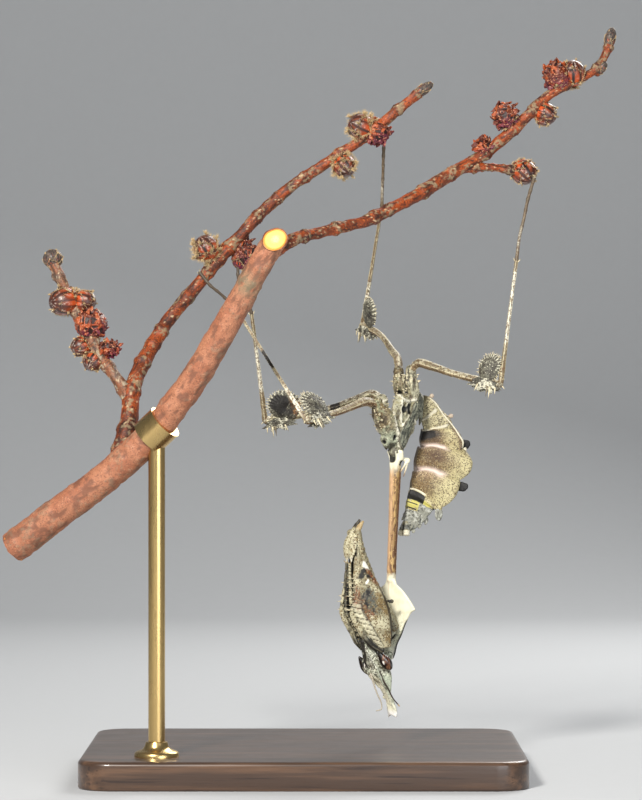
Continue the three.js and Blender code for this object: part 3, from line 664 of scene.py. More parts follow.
# ---------------------------------------------------------------- perch: bark
STEM = [(-51.5, -10, 40.9), (-43, -13, 47.3), (-32.2, -17, 55.6), (-25, -20, 62.6), (-17.9, -24, 72.2),
        (-11.8, -28, 82.4), (-7.1, -31, 90.6), (-4.8, -32, 94.3)]
STEM_RADIUS = [2.8, 2.75, 2.6, 2.55, 2.4, 2.3, 2.1, 1.95]
SPUR = [(28.3, -4.4, 108.2), (31.6, -3.4, 108.7), (34.4, -2.6, 108.6), (37.4, -2, 108.2)]
# Each bud: its kind, centre, radii and the way it points.
TWIGS = {
    "upper": {
        "line": [(-32.6, -16.6, 56.1), (-30.9, -14, 62.6), (-30.3, -11, 69.2), (-27.5, -6, 75.9),
                 (-22.3, -2, 84),
                 (-16.1, 0, 91.3), (-11.6, 1, 96.7), (-4.4, 2, 104), (4.6, 2, 110.3), (11.5, 2, 114.9),
                 (17.3, 2, 119.7), (20.4, 2, 122.2)],
        "radius": [1.7, 1.45, 1.2, 1.1, 1.05, 0.95, 0.85, 0.85],
        "buds": [
            ("scaly", (-17.6, -0.3, 94.3), (2.5, 2.5, 2.6), (-0.5, -0.3, 0.9)),
            ("open", (-11.0, 1.6, 93.4), (1.9, 1.9, 2.7), (0.35, -0.2, 1)),
            ("scaly", (7.2, 1.6, 109.3), (2.2, 2.2, 2.3), (0.6, -0.5, -0.8)),
            ("scaly", (10.2, 1.7, 116.4), (2.5, 2.5, 2.6), (-0.8, -0.5, 0.3)),
            ("open", (13.0, 2.3, 115.5), (2.3, 2.3, 2.4), (0.4, -0.6, -0.5)),
            ("tip", (21.4, 2, 123.0), (1.05, 1.05, 2.4), (0.8, 0, 0.6)),
        ],
    },
    "right": {
        "line": [(-6.4, -29.4, 91.2), (-2.3, -26, 94.4), (2.8, -22, 96), (9.8, -17, 98.1), (16.9, -12, 101.4),
                 (22.4, -8, 104.8), (27.8, -5, 108.4), (33.3, -3, 111.8), (38.7, -2, 116.9), (44.2, -1, 121.8),
                 (48.7, 0, 124.6), (52.4, 1, 126.5), (54.3, 2, 129.3), (54.9, 2, 130.6)],
        "radius": [1.1, 1.0, 1.0, 1.1, 1.15, 1.0, 0.95, 0.75, 0.65],
        "buds": [
            ("open", (36.1, -2.3, 117.8), (2.3, 2.3, 2.4), (-0.4, -0.4, 1)),
            ("scaly", (43.3, -0.9, 118.4), (2.2, 2.2, 2.3), (0.8, -0.3, -0.4)),
            ("open", (45.4, -0.4, 125.2), (2.3, 2.3, 2.8), (-0.4, -0.3, 1)),
            ("scaly", (48.3, 0.2, 125.8), (2.4, 2.4, 2.6), (0, -0.5, 1)),
            ("tip", (55.2, 2.1, 132.2), (1.1, 1.1, 2.3), (0.25, 0, 1)),
            ("tip", (53.6, 1.2, 126.9), (0.9, 0.9, 1.5), (0.5, -0.2, 0.7)),
            ("open", (32.1, -3.6, 112.3), (1.5, 1.3, 1.5), (-0.5, -0.3, 1)),
            ("scaly", (39.5, -1.4, 107.9), (2.4, 2.4, 2.5), (0.5, -0.4, -0.7)),
        ],
    },
    "left": {
        "line": [(-30.9, -12, 67.2), (-33.1, -10.8, 71), (-35.6, -9.6, 74.4), (-38, -8.6, 78.3),
                 (-40.6, -7.8, 83), (-42.9, -7, 87.4), (-44.6, -6.2, 91.2)],
        "radius": [1.1, 1.0, 0.95, 0.95, 0.95, 0.95],
        "buds": [
            ("tip", (-44.8, -6, 92.2), (1.9, 1.7, 1.8), (-0.3, 0.1, 1)),
            ("scaly", (-42.7, -7.6, 84.5), (2.9, 2.6, 2.9), (-0.8, -0.6, -0.1)),
            ("scaly", (-39.0, -7.4, 84.6), (2.2, 2.1, 2.2), (0.9, -0.3, -0.1)),
            ("open", (-37.8, -8.4, 80.5), (2.8, 2.5, 2.7), (0.2, -0.9, 0.2)),
            ("scaly", (-39.6, -9.2, 76.5), (1.9, 1.8, 1.9), (-0.7, -0.6, -0.3)),
            ("scaly", (-37.3, -9.6, 73.9), (2.0, 1.8, 2.1), (-0.5, -0.6, -0.7)),
            ("open", (-34.7, -9.6, 76.0), (1.6, 1.5, 2.1), (0.8, -0.2, 0.1)),
        ],
    },
}


def bark(through, radius, seed, sides=32, step=0.24, wander=0.22, swell=(), knots=1.0, **options):
    """A twig: it wanders a little, and carries ring scars, lenticels, wrinkles and flakes of old grey skin."""
    length = length_of(curve(through, 60))

    def shift(line):
        share = np.linspace(0, 1, len(line))[:, None]
        away = np.stack([noise(line, 5.5, seed + k) for k in range(3)], 1)
        return line + wander * away * np.sin(math.pi * share) ** 0.5

    made = limb(through, radius, sides=sides, steps=int(length / step), shift=shift, **options)
    place = made.values["t"] * length
    around = 2 * math.pi * made.values["turn"]
    random = np.random.RandomState(seed)
    scar, ring = np.zeros(len(place)), 0 * place
    spot = random.uniform(1, 3)
    while spot < length:
        tilt = random.uniform(-0.25, 0.25) * np.cos(around + random.uniform(0, 6))
        for k in range(random.randint(1, 4)):
            here = bell(place, spot + 0.42 * k + tilt, 0.13)
            ring = np.maximum(ring, here)
        scar = np.maximum(scar, bell(place, spot + 0.4 + tilt, 0.75))
        spot += random.uniform(3.0, 8.5)
    for centre, width, height in swell:
        scar = scar + height * bell(place, centre * length, width)
    rolled = np.stack([np.cos(around), np.sin(around), place * 0.22], 1)
    wrinkle = rough(rolled, 0.34, seed + 5)
    skin = rough(np.stack([np.cos(around), np.sin(around), place * 0.45], 1), 1.1, seed + 9, 4)
    flake = smooth(0.10, 0.24, skin + 0.25 * scar)
    near, number = grains(np.stack([np.cos(around) * 1.6, np.sin(around) * 1.6, place * 0.8], 1), 0.75,
                          seed + 20)
    pore = smooth(0.30, 0.16, near) * (number > 0.62)
    knob = rough(made.points, 1.3, seed + 30)
    ring, scar = ring * knots, scar * knots
    made.push(0.12 * ring + 0.15 * scar + 0.10 * wrinkle + 0.10 * flake + 0.06 * pore + 0.12 * knob)
    return made.set(ring=ring, flake=flake * (0.4 + 0.6 * knots), pore=pore * smooth(0.1, 0.8, knots),
                    gap=smooth(-0.1, -0.3, wrinkle))


def bark_paint(name, young, old, dark, flake, amount, light):
    paint = Paint(name, young, 0.45)
    patch = paint.times(paint.value("flake"), paint.mask((0.8, 4, 2, 0.47, 0.56)))
    paint.cover([
        (old, 1, (3.5, 4, 1, 0.4, 0.62)),
        (dark, 0.8, (0.5, 4, 4, 0.56, 0.74)),
        (light, 0.6, (0.33, 2, 8, 0.58, 0.70)),
        (dark, 0.75, "gap"),
        (dark, 0.55, ("ring", 0.25, 0.9)),
        (dark, 0.7, (0.26, 4, 54, 0.55, 0.63)),
        (flake, amount, patch),
        ((96, 84, 72), 0.7, patch, (0.22, 3, 6, 0.52, 0.66)),
        ((214, 190, 150), 0.75, "pore"),
        ((112, 122, 96), 0.85, "moss", (1.4, 3, 3, 0.3, 0.5)),
    ])
    return paint.done(relief=[((0.16, 4, 0), 0.035), (paint.ramp(patch, 0.2, 0.6), 0.02)],
                      gloss=(0.6, 0.8, patch))


TWIG_BARK = bark_paint("twig_bark", (150, 64, 16), (100, 42, 13), (32, 16, 10), (146, 128, 98), 0.75,
                       (204, 108, 42))
OLD_BARK = bark_paint("old_twig_bark", (132, 78, 48), (112, 84, 66), (56, 40, 32), (160, 146, 124), 0.9,
                      (176, 130, 90))
STEM_BARK = bark_paint("stem_bark", (172, 114, 84), (158, 98, 70), (112, 72, 54), (140, 136, 112), 0.45,
                       (196, 140, 106))


def slanted(points, centre, way, normal):
    """Slides whatever lies beyond a slanting plane back along the stem until it is on the plane."""
    beyond = (points - centre) @ normal / (way @ normal)
    return points - np.maximum(beyond, 0)[:, None] * way


def cut_face(name, centre, way, radius, seed, normal=None):
    """A freshly cut end: pale wood with a paler middle and an orange rim, and a little noise in colour and
    relief.
    """
    way = unit(way)
    rings, sides = 14, 56
    x = unit(np.cross(way, (0.2, 0.9, 0.1)))
    y = np.cross(way, x)
    angle = 2 * math.pi * np.arange(sides) / sides
    edge = radius * (1 + 0.05 * noise(np.stack([np.cos(angle), np.sin(angle), 0 * angle], 1), 0.5, seed))
    share = np.linspace(1, 0.06, rings)
    lift = 0.12 - 0.12 * share**8
    flat = share[:, None] * edge
    disc = centre + flat[..., None] * (np.cos(angle)[None, :, None] * x + np.sin(angle)[None, :, None] * y)
    if normal is not None:
        disc = disc - ((disc - centre) @ normal / (way @ normal))[..., None] * way + 0.04 * normal
    disc = disc + lift[:, None, None] * (way if normal is None else normal)
    rim = disc[:1] - 0.5 * way
    out = np.concatenate([np.ones((1, sides)), np.repeat(share[:, None], sides, 1)])
    wood = painted(name, (255, 222, 120), 0.6, [
        ((255, 240, 176), 0.7, ("out", 0.5, 0.2)),
        ((226, 130, 40), 0.9, ("out", 0.74, 0.96)),
        ((240, 178, 84), 0.5, (0.3, 3, 0, 0.5, 0.7)),
    ], relief=[((0.16, 3, 0), 0.03)])
    shell = loft(np.concatenate([rim, disc]), out=out)
    shell.values["out"][-1] = 0
    return shell, wood


# ---------------------------------------------------------------- perch: buds
GOLDEN_TURN = 2.39996  # from one scale to the next, in radians


def bud_frame(axis):
    z = unit(axis)
    x = unit(np.cross((0.31, 0.87, 0.39), z))
    return x, np.cross(z, x), z


def scales(centre, radii, axis, seed, count=13, first=150, last=26, pointed=0.36, width=1.15, lift=0.20,
           fringe=0.5):
    """Overlapping bud scales in a spiral from the foot to the tip, each with a fringe of hairs on its rim."""
    random = np.random.RandomState(seed)
    x, y, z = bud_frame(axis)
    made, roots, tips = [], [], []
    for k in range(count):
        share = k / (count - 1)
        turn = GOLDEN_TURN * k + random.uniform(-0.3, 0.3)
        foot = math.radians(lerp(178, 95, share))
        top = math.radians(lerp(first, last, share) * random.uniform(0.88, 1.1))
        size = 1.12 - 0.17 * share
        spread = width * lerp(0.8, 1.0, math.sin(math.pi * share)) * random.uniform(0.85, 1.1)
        v, u = np.meshgrid(np.linspace(0, 1, 13), np.linspace(-1, 1, 13), indexing="ij")
        half = spread * np.clip(1 - v, 0, 1) ** pointed * np.minimum(1, 0.35 + 2.2 * v)
        polar = lerp(foot, top, v) + 0.10 * u**2 * v
        angle = turn + u * half / np.maximum(np.sin(polar), 0.45)
        rib = np.abs(np.sin(6.5 * u + 1.3 * np.sin(2.2 * v + turn)))
        bulge = size + lift * v**2.5 * (1 - 0.4 * np.abs(u)) - 0.09 * (1 - rib) * np.minimum(1, 2.5 * v)
        shape = []
        for r in (bulge, bulge - 0.07):
            shape.append(np.asarray(centre) + (r * radii[0] * np.sin(polar) * np.cos(angle))[..., None] * x
                         + (r * radii[1] * np.sin(polar) * np.sin(angle))[..., None] * y
                         + (r * radii[2] * np.cos(polar))[..., None] * z)
        rim = np.maximum(np.abs(u) ** 3, v**4)
        outer, inner = shape
        rows = np.concatenate([outer, inner[:, ::-1]], 1)
        values = np.concatenate([rim, rim[:, ::-1]], 1)
        foot_share = np.concatenate([v, v[:, ::-1]], 1)
        rib = np.clip(rib + 0.25 * noise(outer, 0.5, seed + k), 0, 1)
        ribs = np.concatenate([rib, rib[:, ::-1]], 1)
        made.append(loft(rows, rim=values, rise=foot_share, rib=ribs, shade=random.uniform(0, 1)))
        edge = np.concatenate([outer[3:, 0], outer[-1, 1:-1], outer[::-1][:-3, -1]])
        edge = np.concatenate([lerp(edge[:-1], edge[1:], q)
                               for q in ((0, 0.2, 0.4, 0.6, 0.8) if fringe > 0.9 else (0, 0.33, 0.67))])
        away = unit(edge - np.asarray(centre)) * 0.8 + 0.3 * z + random.normal(0, 0.4, edge.shape)
        roots.append(edge)
        tips.append(edge + unit(away) * fringe * random.uniform(0.3, 1.05, (len(edge), 1))
                    * min(1, np.mean(radii) / 2.0) ** 2)
    hair = thorns(np.concatenate(roots), np.concatenate(tips), 0.042, bend=0.1, sides=3, hair=1)
    return made, hair


def bud(kind, centre, radii, axis, seed, fringe):
    """A bud: round and scaly, burst open into a crumpled cluster, or a narrow one at a twig's tip."""
    random = np.random.RandomState(seed)
    core = ball(centre, [r * 0.93 for r in radii], axis, sides=28, rows=16)
    core.set(shade=0.25, rim=0, rise=core.values["t"],
             rib=np.abs(np.cos(2 * math.pi * 5 * core.values["turn"])))
    core.push(0.08 * rough(core.points, 0.6, seed))
    if kind == "scaly":
        made, hair = scales(centre, [r * 0.9 for r in radii], axis, seed, fringe=fringe)
        return joined([core, *made]).set(dull=0.0), hair, None
    if kind == "tip":
        made, hair = scales(centre, [r * 0.86 for r in radii], axis, seed, count=11, first=120, last=12,
                            pointed=0.8, width=1.35, lift=0.1)
        return joined([core, *made]).set(dull=1.0), hair, None
    made, hair = scales(centre, [r * 0.92 for r in radii], axis, seed, count=7, first=135, last=80, pointed=0.7)
    x, y, z = bud_frame(axis)
    heart = ball(centre, [r * 0.94 for r in radii], axis, sides=128, rows=84)
    crest = np.clip(1 - 3.0 * np.abs(noise(heart.points, 1.5, seed + 3)), 0, 1)
    small = np.clip(1 - 2.6 * np.abs(noise(heart.points, 0.62, seed + 4)), 0, 1)
    heart.push(0.30 * crest + 0.16 * small)
    heart.set(fold=np.clip(crest + 0.7 * small, 0, 1), shade=0.5 + 0.5 * noise(heart.points, 1.4, seed + 8))
    lobes = [heart]
    petals = 30
    for k in range(petals):
        height = 1 - 1.5 * (k + 0.5) / petals
        turn = GOLDEN_TURN * k + random.uniform(-0.4, 0.4)
        flat = math.sqrt(max(1 - height**2, 0))
        way = unit(flat * math.cos(turn) * x + flat * math.sin(turn) * y + height * z)
        spot = np.asarray(centre) + 0.94 * (radii[0] * flat * math.cos(turn) * x + radii[1] * flat
                                            * math.sin(turn) * y + radii[2] * height * z)
        size = random.uniform(0.45, 0.95)
        aside = unit(np.cross(way, random.normal(0, 1, 3)))
        lean = unit(way + random.uniform(0.3, 1.3) * np.cross(aside, way))
        petal = limb([spot - 0.3 * way, spot + 0.35 * size * lean, spot + size * lean + 0.2 * aside],
                     [size * 0.35, size * 0.6, size * 0.5, size * 0.2], [0.16, 0.14, 0.1, 0.06], aside,
                     sides=22, steps=14)
        around = petal.values["turn"]
        petal.push(0.10 * size * np.cos(2 * math.pi * 6 * around))
        petal.points = (petal.points
                        + 0.10 * np.stack([noise(petal.points, 0.5, seed + 50 + q) for q in range(3)], 1))
        petal.set(fold=0.35 + 0.65 * smooth(0.1, 0.9, petal.values["t"]), shade=random.uniform(0, 1))
        lobes.append(petal)
    cluster = joined(lobes)
    cluster.set(low=smooth(0.3, -0.6, (cluster.points - np.asarray(centre)) @ unit((-0.35, -0.2, 1))
                           / max(radii)))
    return joined([core, *made]).set(dull=0.0), hair, cluster


BUD_SCALE = painted("bud_scale", (66, 34, 26), 0.4, [
    ((30, 22, 22), 0.9, ("shade", 0.3, 0.7)),
    ((122, 58, 28), 0.8, ("rib", 0.5, 0.8), (0.9, 3, 4, 0.42, 0.56)),
    # pale grey on the rib crests: a painted highlight
    ((168, 156, 146), 0.8, ("rib", 0.6, 0.9), (0.6, 3, 7, 0.5, 0.58)),
    ((198, 78, 20), 0.9, ("rise", 0.85, 0.3), ("rib", 0.35, 0.75)),
    ((12, 8, 8), 0.92, ("rib", 0.38, 0.12)),
    ((112, 74, 44), 0.8, ("rim", 0.55, 0.8)),
    ((200, 168, 122), 0.85, ("rim", 0.9, 0.99)),
    ((84, 74, 66), 0.95, "dull", (0.5, 3, 17, 0.3, 0.5)),
    ((34, 28, 26), 0.85, "dull", (0.35, 3, 27, 0.5, 0.6)),
], relief=[((0.14, 3, 0), 0.04)], gloss=(0.38, 0.75, "dull"), Coat_Weight=0.2, Coat_Roughness=0.25)


BUD_CLUSTER = painted("bud_cluster", (92, 36, 22), 0.5, [
    ((176, 80, 30), 0.8, ("shade", 0.42, 0.7)),
    ((96, 26, 56), 0.85, "low", (1.2, 2, 3, 0.36, 0.5)),
    ((214, 150, 110), 0.7, (0.34, 2, 9, 0.56, 0.66)),
    # near black in the hollows between crests and at the petals' feet: painted shade
    ((28, 12, 12), 0.95, ("fold", 0.42, 0.12)),
    ((60, 24, 16), 0.6, (0.3, 3, 5, 0.56, 0.7)),
], relief=[((0.14, 3, 0), 0.03)])


LONGEST_STALK = 4.5  # a bud farther from the twig sits on a spur of its own
BUD_HAIR = painted("bud_hair", (226, 208, 164), 0.7, [((176, 126, 66), 0.7, (0.6, 2, 0))])


def perch():
    way, slant = unit((2.3, -1, 3.7)), unit((0.22, -0.80, 0.55))
    end = np.array(STEM[-1], float)
    stem = bark([*STEM[:-1], end, end + 2.6 * way], STEM_RADIUS, 11, sides=64, step=0.3, wander=0.15,
                ends=(0, 0), swell=[(0.33, 2.4, 1.6)], knots=0.22)
    stem.points = slanted(stem.points, end, way, slant)
    stem.set(moss=np.clip(nearness(stem.points, [(-9.4, -30.5, 86.9)], 2.0)
                          + 0.7 * nearness(stem.points, [(-3.2, -33.5, 90.5)], 1.2), 0, 1))
    piece("stem_bark", stem, STEM_BARK, ["perch_stem"], flat_below=50)
    line = curve(STEM, 60)
    for name, last, heading, radius, normal in (("stem_cut_low", 0, line[0] - line[1], STEM_RADIUS[0], None),
                                                ("stem_cut_high", -1, way, STEM_RADIUS[-1], slant)):
        face, finish = cut_face(name, line[last], heading, radius - 0.08, 40, normal)
        piece(name, face, finish)
    for order, (name, twig) in enumerate(TWIGS.items()):
        seed = 100 * (order + 1)
        line = np.array(twig["line"], float)
        swell = []
        dense = curve(line, 200)
        for _, centre, _, _ in twig["buds"]:
            near = np.argmin(np.linalg.norm(dense - np.asarray(centre), axis=1))
            swell.append((near / (len(dense) - 1), 0.9, 0.7))
        parts = [bark(line, twig["radius"], seed, swell=swell)]
        if name == "right":
            parts.append(bark(SPUR, [0.8, 0.75, 0.65, 0.7], seed + 7, sides=24, wander=0.1,
                              swell=[(k / 5, 0.35, 0.8) for k in range(1, 5)]))
        for _, centre, radii, axis in twig["buds"]:
            near = dense[np.argmin(np.linalg.norm(dense - np.asarray(centre), axis=1))]
            foot = np.asarray(centre) - 0.8 * radii[2] * unit(axis)
            if np.linalg.norm(near - foot) > LONGEST_STALK:
                continue
            stalk = limb([near, lerp(near, foot, 0.6), foot], [0.6, 0.5, 0.62], sides=14, steps=14)
            stalk.push(0.1 * rough(stalk.points, 0.5, 3))
            parts.append(stalk)
        piece(f"twig_{name}_bark", joined(parts), OLD_BARK if name == "left" else TWIG_BARK,
              [f"perch_twig_{name}"])
        made = [bud(*row, seed + 31 * k, 1.0 if name == "upper" else 0.5) for k, row in enumerate(twig["buds"])]
        piece(f"twig_{name}_buds", joined(m[0] for m in made), BUD_SCALE, flat_below=60)
        piece(f"twig_{name}_bud_hairs", joined(m[1] for m in made), BUD_HAIR)
        piece(f"twig_{name}_clusters", joined(m[2] for m in made if m[2]), BUD_CLUSTER)
    saddle = vec(-25.6, -19.8, 62.0)
    cup = limb([saddle + (-1.5, 0.6, -1.6), saddle + (1.5, -0.6, 1.2)],
               3.3, wide=(0, 1, 0), sides=64, steps=8, ends=(0, 0))
    piece("saddle", cup, BRASS, ["stand_saddle"], flat_below=35)


perch()


# ---------------------------------------------------------------- the animal's own frames
UP = vec(0, 0, 1)


class Stance:
    """An upright frame: places in it are [towards the back, towards the animal's right, height]."""

    def __init__(self, axis, degrees):
        yaw = math.radians(degrees)
        self.origin = vec(*axis, 0)
        self.back = vec(math.cos(yaw), math.sin(yaw), 0)
        self.right = vec(math.sin(yaw), -math.cos(yaw), 0)

    def at(self, back, side, height):
        parts = (np.asarray(v, float)[..., None] for v in (back, side, height))
        return self.origin + sum(p * d for p, d in zip(parts, (self.back, self.right, UP)))

    def line(self, points, sign=1):
        return np.array([self.at(b, sign * s, z) for b, s, z in points])


BODY = Stance((15.6, 0), 45)
TAIL = Stance((21.1, 5.5), 35)
SIDES = {"right": 1, "left": -1}


def middle(points):
    return np.array([BODY.at(b, 0, z) for b, z in points])


def bumps(shell, size, height, share=1.0, seed=0, where=1.0):
    """Raises round granules all over a shell, and notes them as `grain`."""
    near, number = grains(shell.points, size, seed)
    grain = smooth(0.42, 0.05, near) * (number < share) * where
    shell.push(height * grain)
    return shell.set(grain=np.maximum(grain, shell.values.get("grain", 0)))


# ---------------------------------------------------------------- walking legs
# Joints in X, Y, Z. A lobe is given from the knee, [along the femur, towards the tibia]. Marks are shares of a
# segment's length: where it is whitish, and where it is black, a painted shadow cast by another leg.
WALKING_LEGS = {
    "hind_right": {
        "hip": (19.3, 1.7, 66.2), "coxa": (19.2, 0.9, 72.3), "shin": (37.9, -5, 92),
        "femur": [(19.1, 0.8, 72.1), (20.4, -0.3, 73.6), (22.6, -2.4, 73.1), (26.9, -5.8, 71.6),
                  (34.4, -9.5, 69.7)],
        "lobe": ((-2.4, 2.5), (1.95, 2.6)),
        "foot": [(38.5, -4.5, 96.3), (39.3, -4, 99.5), (40, -3.6, 102.8), (41.1, -3.5, 106.6)],
        "white": (0.32, 0.92), "black": None, "brown": 0.45,
    },
    "hind_left": {
        "hip": (18, 4, 66.2), "coxa": (17.1, 4.4, 72.3), "shin": (14.15, 10, 102.5),
        "femur": [(17.2, 4.5, 72.1), (16.9, 6, 74.6), (16.1, 8, 75.8), (14.1, 13.2, 78.8), (10.9, 20, 80.8)],
        "lobe": ((-3.0, 3.2), (2.4, 2.7)),
        "foot": [(14.2, 8.6, 105.2), (14.3, 7, 108.4), (14.35, 5.5, 111.5), (14.5, 4.7, 114.6)],
        "white": (0.1, 0.36), "black": None, "brown": 0.75,
    },
    "mid_right": {
        "hip": (15.6, -0.9, 60.7), "coxa": (13, -2.5, 66.5), "shin": (-11.4, -8.5, 82.1),
        "femur": [(13.1, -2.5, 66.3), (11, -4.6, 66.7), (8.2, -7.8, 65.7), (5.8, -10.6, 64.8),
                  (0.7, -16.3, 63.5)],
        "lobe": ((-3.2, 1.9), (2.6, 3.2)),
        "foot": [(-13.2, -6.4, 84.3), (-15.1, -4.4, 86.1), (-16.9, -2.8, 87.6), (-18.7, -1.9, 89.8)],
        "white": (0.06, 0.3), "black": (0.5, 0.64), "brown": 0.9,
    },
    "mid_left": {
        "hip": (14.9, 2.8, 60.6), "coxa": (14.2, 5.2, 67.2), "shin": (-9.6, 3.8, 82.8),
        "femur": [(14.3, 5.3, 67), (12.4, 6.5, 68.1), (10.3, 7.2, 67.4), (4.6, 9.2, 65.4), (-6.8, 12, 63.2)],
        "lobe": ((-3.9, 2.5), (3.0, 2.85)),
        "foot": [(-10.2, 3, 84.9), (-11, 2.2, 86.9), (-11.9, 1.5, 89), (-12, 1.5, 91)],
        "white": (0.28, 0.7), "black": None, "brown": 0.0,
    },
}


LEG = painted("leg_cuticle", (120, 112, 84), 0.5, [
    ((182, 174, 140), 0.8, (1.6, 3, 2, 0.48, 0.6)),
    ((134, 88, 46), 0.9, "brown", (0.7, 3, 5, 0.28, 0.48)),
    ((84, 60, 40), 0.8, "brown", (0.4, 4, 15, 0.5, 0.6)),
    ((240, 236, 216), 0.85, "white", (0.8, 3, 0, 0.68, 0.5)),
    # pale on the keels as a painted highlight, darker between them as painted shade
    ((234, 226, 194), 0.5, ("keel", 0.6, 0.95)),
    ((92, 70, 46), 0.7, ("keel", 0.28, 0.04), (0.5, 3, 23, 0.42, 0.54)),
    ((104, 78, 52), 0.8, (0.42, 4, 11, 0.53, 0.62)),
    ((42, 30, 20), 0.9, ("dots", 0.36, 0.9, 0.34)),
    ((232, 222, 188), 0.8, "brown", (0.7, 3, 5, 0.28, 0.48), ("dots", 0.34, 0.8, 0.28)),
    # black on the walking legs is painted shade: shadow bands on two legs, and the mid pair's feet
    ((24, 18, 15), 0.96, ("black", 0.35, 0.6)),
    # darker feet and pads; on the mid pair this is painted shade
    ((78, 66, 52), 0.8, "dusk"),
], relief=[((0.13, 3, 0), 0.022), ((0.5, 2, 0), 0.03)], gloss=(0.42, 0.62, (0.6, 2, 0)))


LOBE_SKIN = painted("lobe_cuticle", (102, 100, 86), 0.62, [
    ((62, 57, 48), 0.85, (0.7, 3, 3, 0.44, 0.56)),
    ((146, 102, 60), 0.9, "warm", (0.8, 2, 8, 0.34, 0.5)),
    ((46, 40, 34), 0.8, (0.34, 3, 31, 0.52, 0.6)),
    ((198, 194, 172), 0.9, ("grain", 0.25, 0.65)),
    ((206, 202, 180), 0.92, ("pale", 0.3, 0.7), (0.3, 3, 7, 0.62, 0.46)),
    # dark patches, and painted shade on the far knee disc
    ((18, 15, 14), 0.92, ("dark", 0.3, 0.7)),
    ((34, 28, 24), 0.7, ("dots", 0.34, 0.5, 0.28)),
], relief=[((0.12, 3, 0), 0.03)])


SPINE = painted("spine_horn", (222, 212, 180), 0.4, [
    ((60, 46, 36), 0.55, ("tip", 0.55, 0.95)),
    ((38, 30, 26), 0.9, "dark"),
    ((178, 160, 122), 0.5, (0.5, 3, 0)),
])


def shaft(through, half, seed, ridge=0.13, **options):
    """A leg segment with four keels, faint knobs and the marks of its skin."""
    steps = max(8, int(length_of(curve(through, 40)) / 0.22))
    made = limb(through, half, sides=24, steps=steps, ridges=4, ridge=ridge, **options)
    # keel is 1 on the four ridges; the paint puts a painted highlight there and painted shade between
    keel = np.abs(np.cos(4 * math.pi * made.values["turn"])) ** 4
    made.push(0.05 * rough(made.points, 0.9, seed) + 0.04 * keel * noise(made.points, 0.35, seed + 3))
    return made.set(keel=keel)


def rows_of_thorns(through, half, seed, size=0.2, wide=(0, 0, 1), span=(0.04, 0.96)):
    """Fine teeth along the four keels of a segment, leaning towards its far end."""
    random = np.random.RandomState(seed)
    line = curve(through, 200)
    ahead, across, over = rails(line, wide)
    roots, tips = [], []
    for k in range(4):
        count = int(length_of(line) / 0.55)
        for share in np.linspace(*span, count) + random.uniform(-0.3, 0.3, count) / count:
            i = int(np.clip(share, 0, 1) * 199)
            angle = math.pi / 2 * k + random.uniform(-0.2, 0.2)
            out = math.cos(angle) * across[i] + math.sin(angle) * over[i]
            root = line[i] + out * along(half, share) * 1.02
            roots.append(root)
            tips.append(root + (out + 0.5 * ahead[i]) * size * random.uniform(0.5, 1.2))
    return thorns(roots, tips, 0.055, sides=4)


def knee_disc(knee, thigh, upright, centre, radii, seed):
    """The upright round lobe beside a femur's end: granular and ribbed, with a comb of spines on its rim."""
    random = np.random.RandomState(seed)
    across = unit(np.cross(thigh, upright))
    across = -across if across[1] > 0 else across
    knee = knee + 0.72 * across
    angle = np.linspace(0, 2 * math.pi, 145)[:-1]
    flat = np.stack([np.cos(angle), np.sin(angle), 0 * angle], 1)
    reach = 1 + 0.06 * noise(flat, 0.5, seed) + 0.045 * np.abs(np.sin(12 * angle + 0.6 * np.sin(3 * angle)))
    outline = np.stack([centre[0] + radii[0] * reach * np.cos(angle), centre[1] + radii[1] * reach
                        * np.sin(angle)], 1)
    made = slab(outline, knee, thigh, upright, 0.75, rows=20, rim=0.3)
    away = made.points - (knee + centre[0] * thigh + centre[1] * upright)
    turn = np.arctan2(away @ upright / radii[1], away @ thigh / radii[0])
    edge = made.values["edge"]
    rib = (np.abs(np.sin(12 * turn + 0.6 * np.sin(3 * turn))) ** 4 * smooth(0.5, 0.85, edge)
           * smooth(-0.5, 0.1, np.sin(turn)))
    cup = np.cos(1.6 * edge) * np.sin(turn + 1)
    made.points = made.points + across * (0.2 * noise(made.points, 1.6, seed) + 0.07 * cup
                                          - 0.35 * smooth(0.3, 1, edge))[:, None]
    made.push(0.10 * rib + 0.07 * rough(made.points, 0.7, seed))
    made = bumps(made, 0.36, 0.11, share=0.85, seed=seed, where=smooth(1.02, 0.9, edge))
    height = away @ upright / radii[1]
    made.set(pale=np.clip(0.95 * rib + 0.35 * smooth(0.93, 1, edge), 0, 1),
             dark=0.55 * smooth(0.2, -0.4, noise(made.points, 1.2, seed + 5)) * smooth(0.9, 0.6, edge),
             high=height, ahead=away @ thigh / radii[0])
    roots, tips = [], []
    count = 30
    for k in range(count):
        a = math.radians(-40 + 250 * k / (count - 1)) + random.uniform(-0.05, 0.05)
        spot = (knee + (centre[0] + radii[0] * 0.97 * math.cos(a)) * thigh
                + (centre[1] + radii[1] * 0.97 * math.sin(a)) * upright)
        out = math.cos(a) * thigh + math.sin(a) * upright + random.uniform(-0.35, 0.35) * across
        roots.append(spot - 0.35 * across)
        tips.append(spot - 0.35 * across + unit(out) * random.uniform(0.4, 0.85))
    return made, thorns(roots, tips, 0.10, bend=0.08, dark=random.uniform(0, 0.3, count))


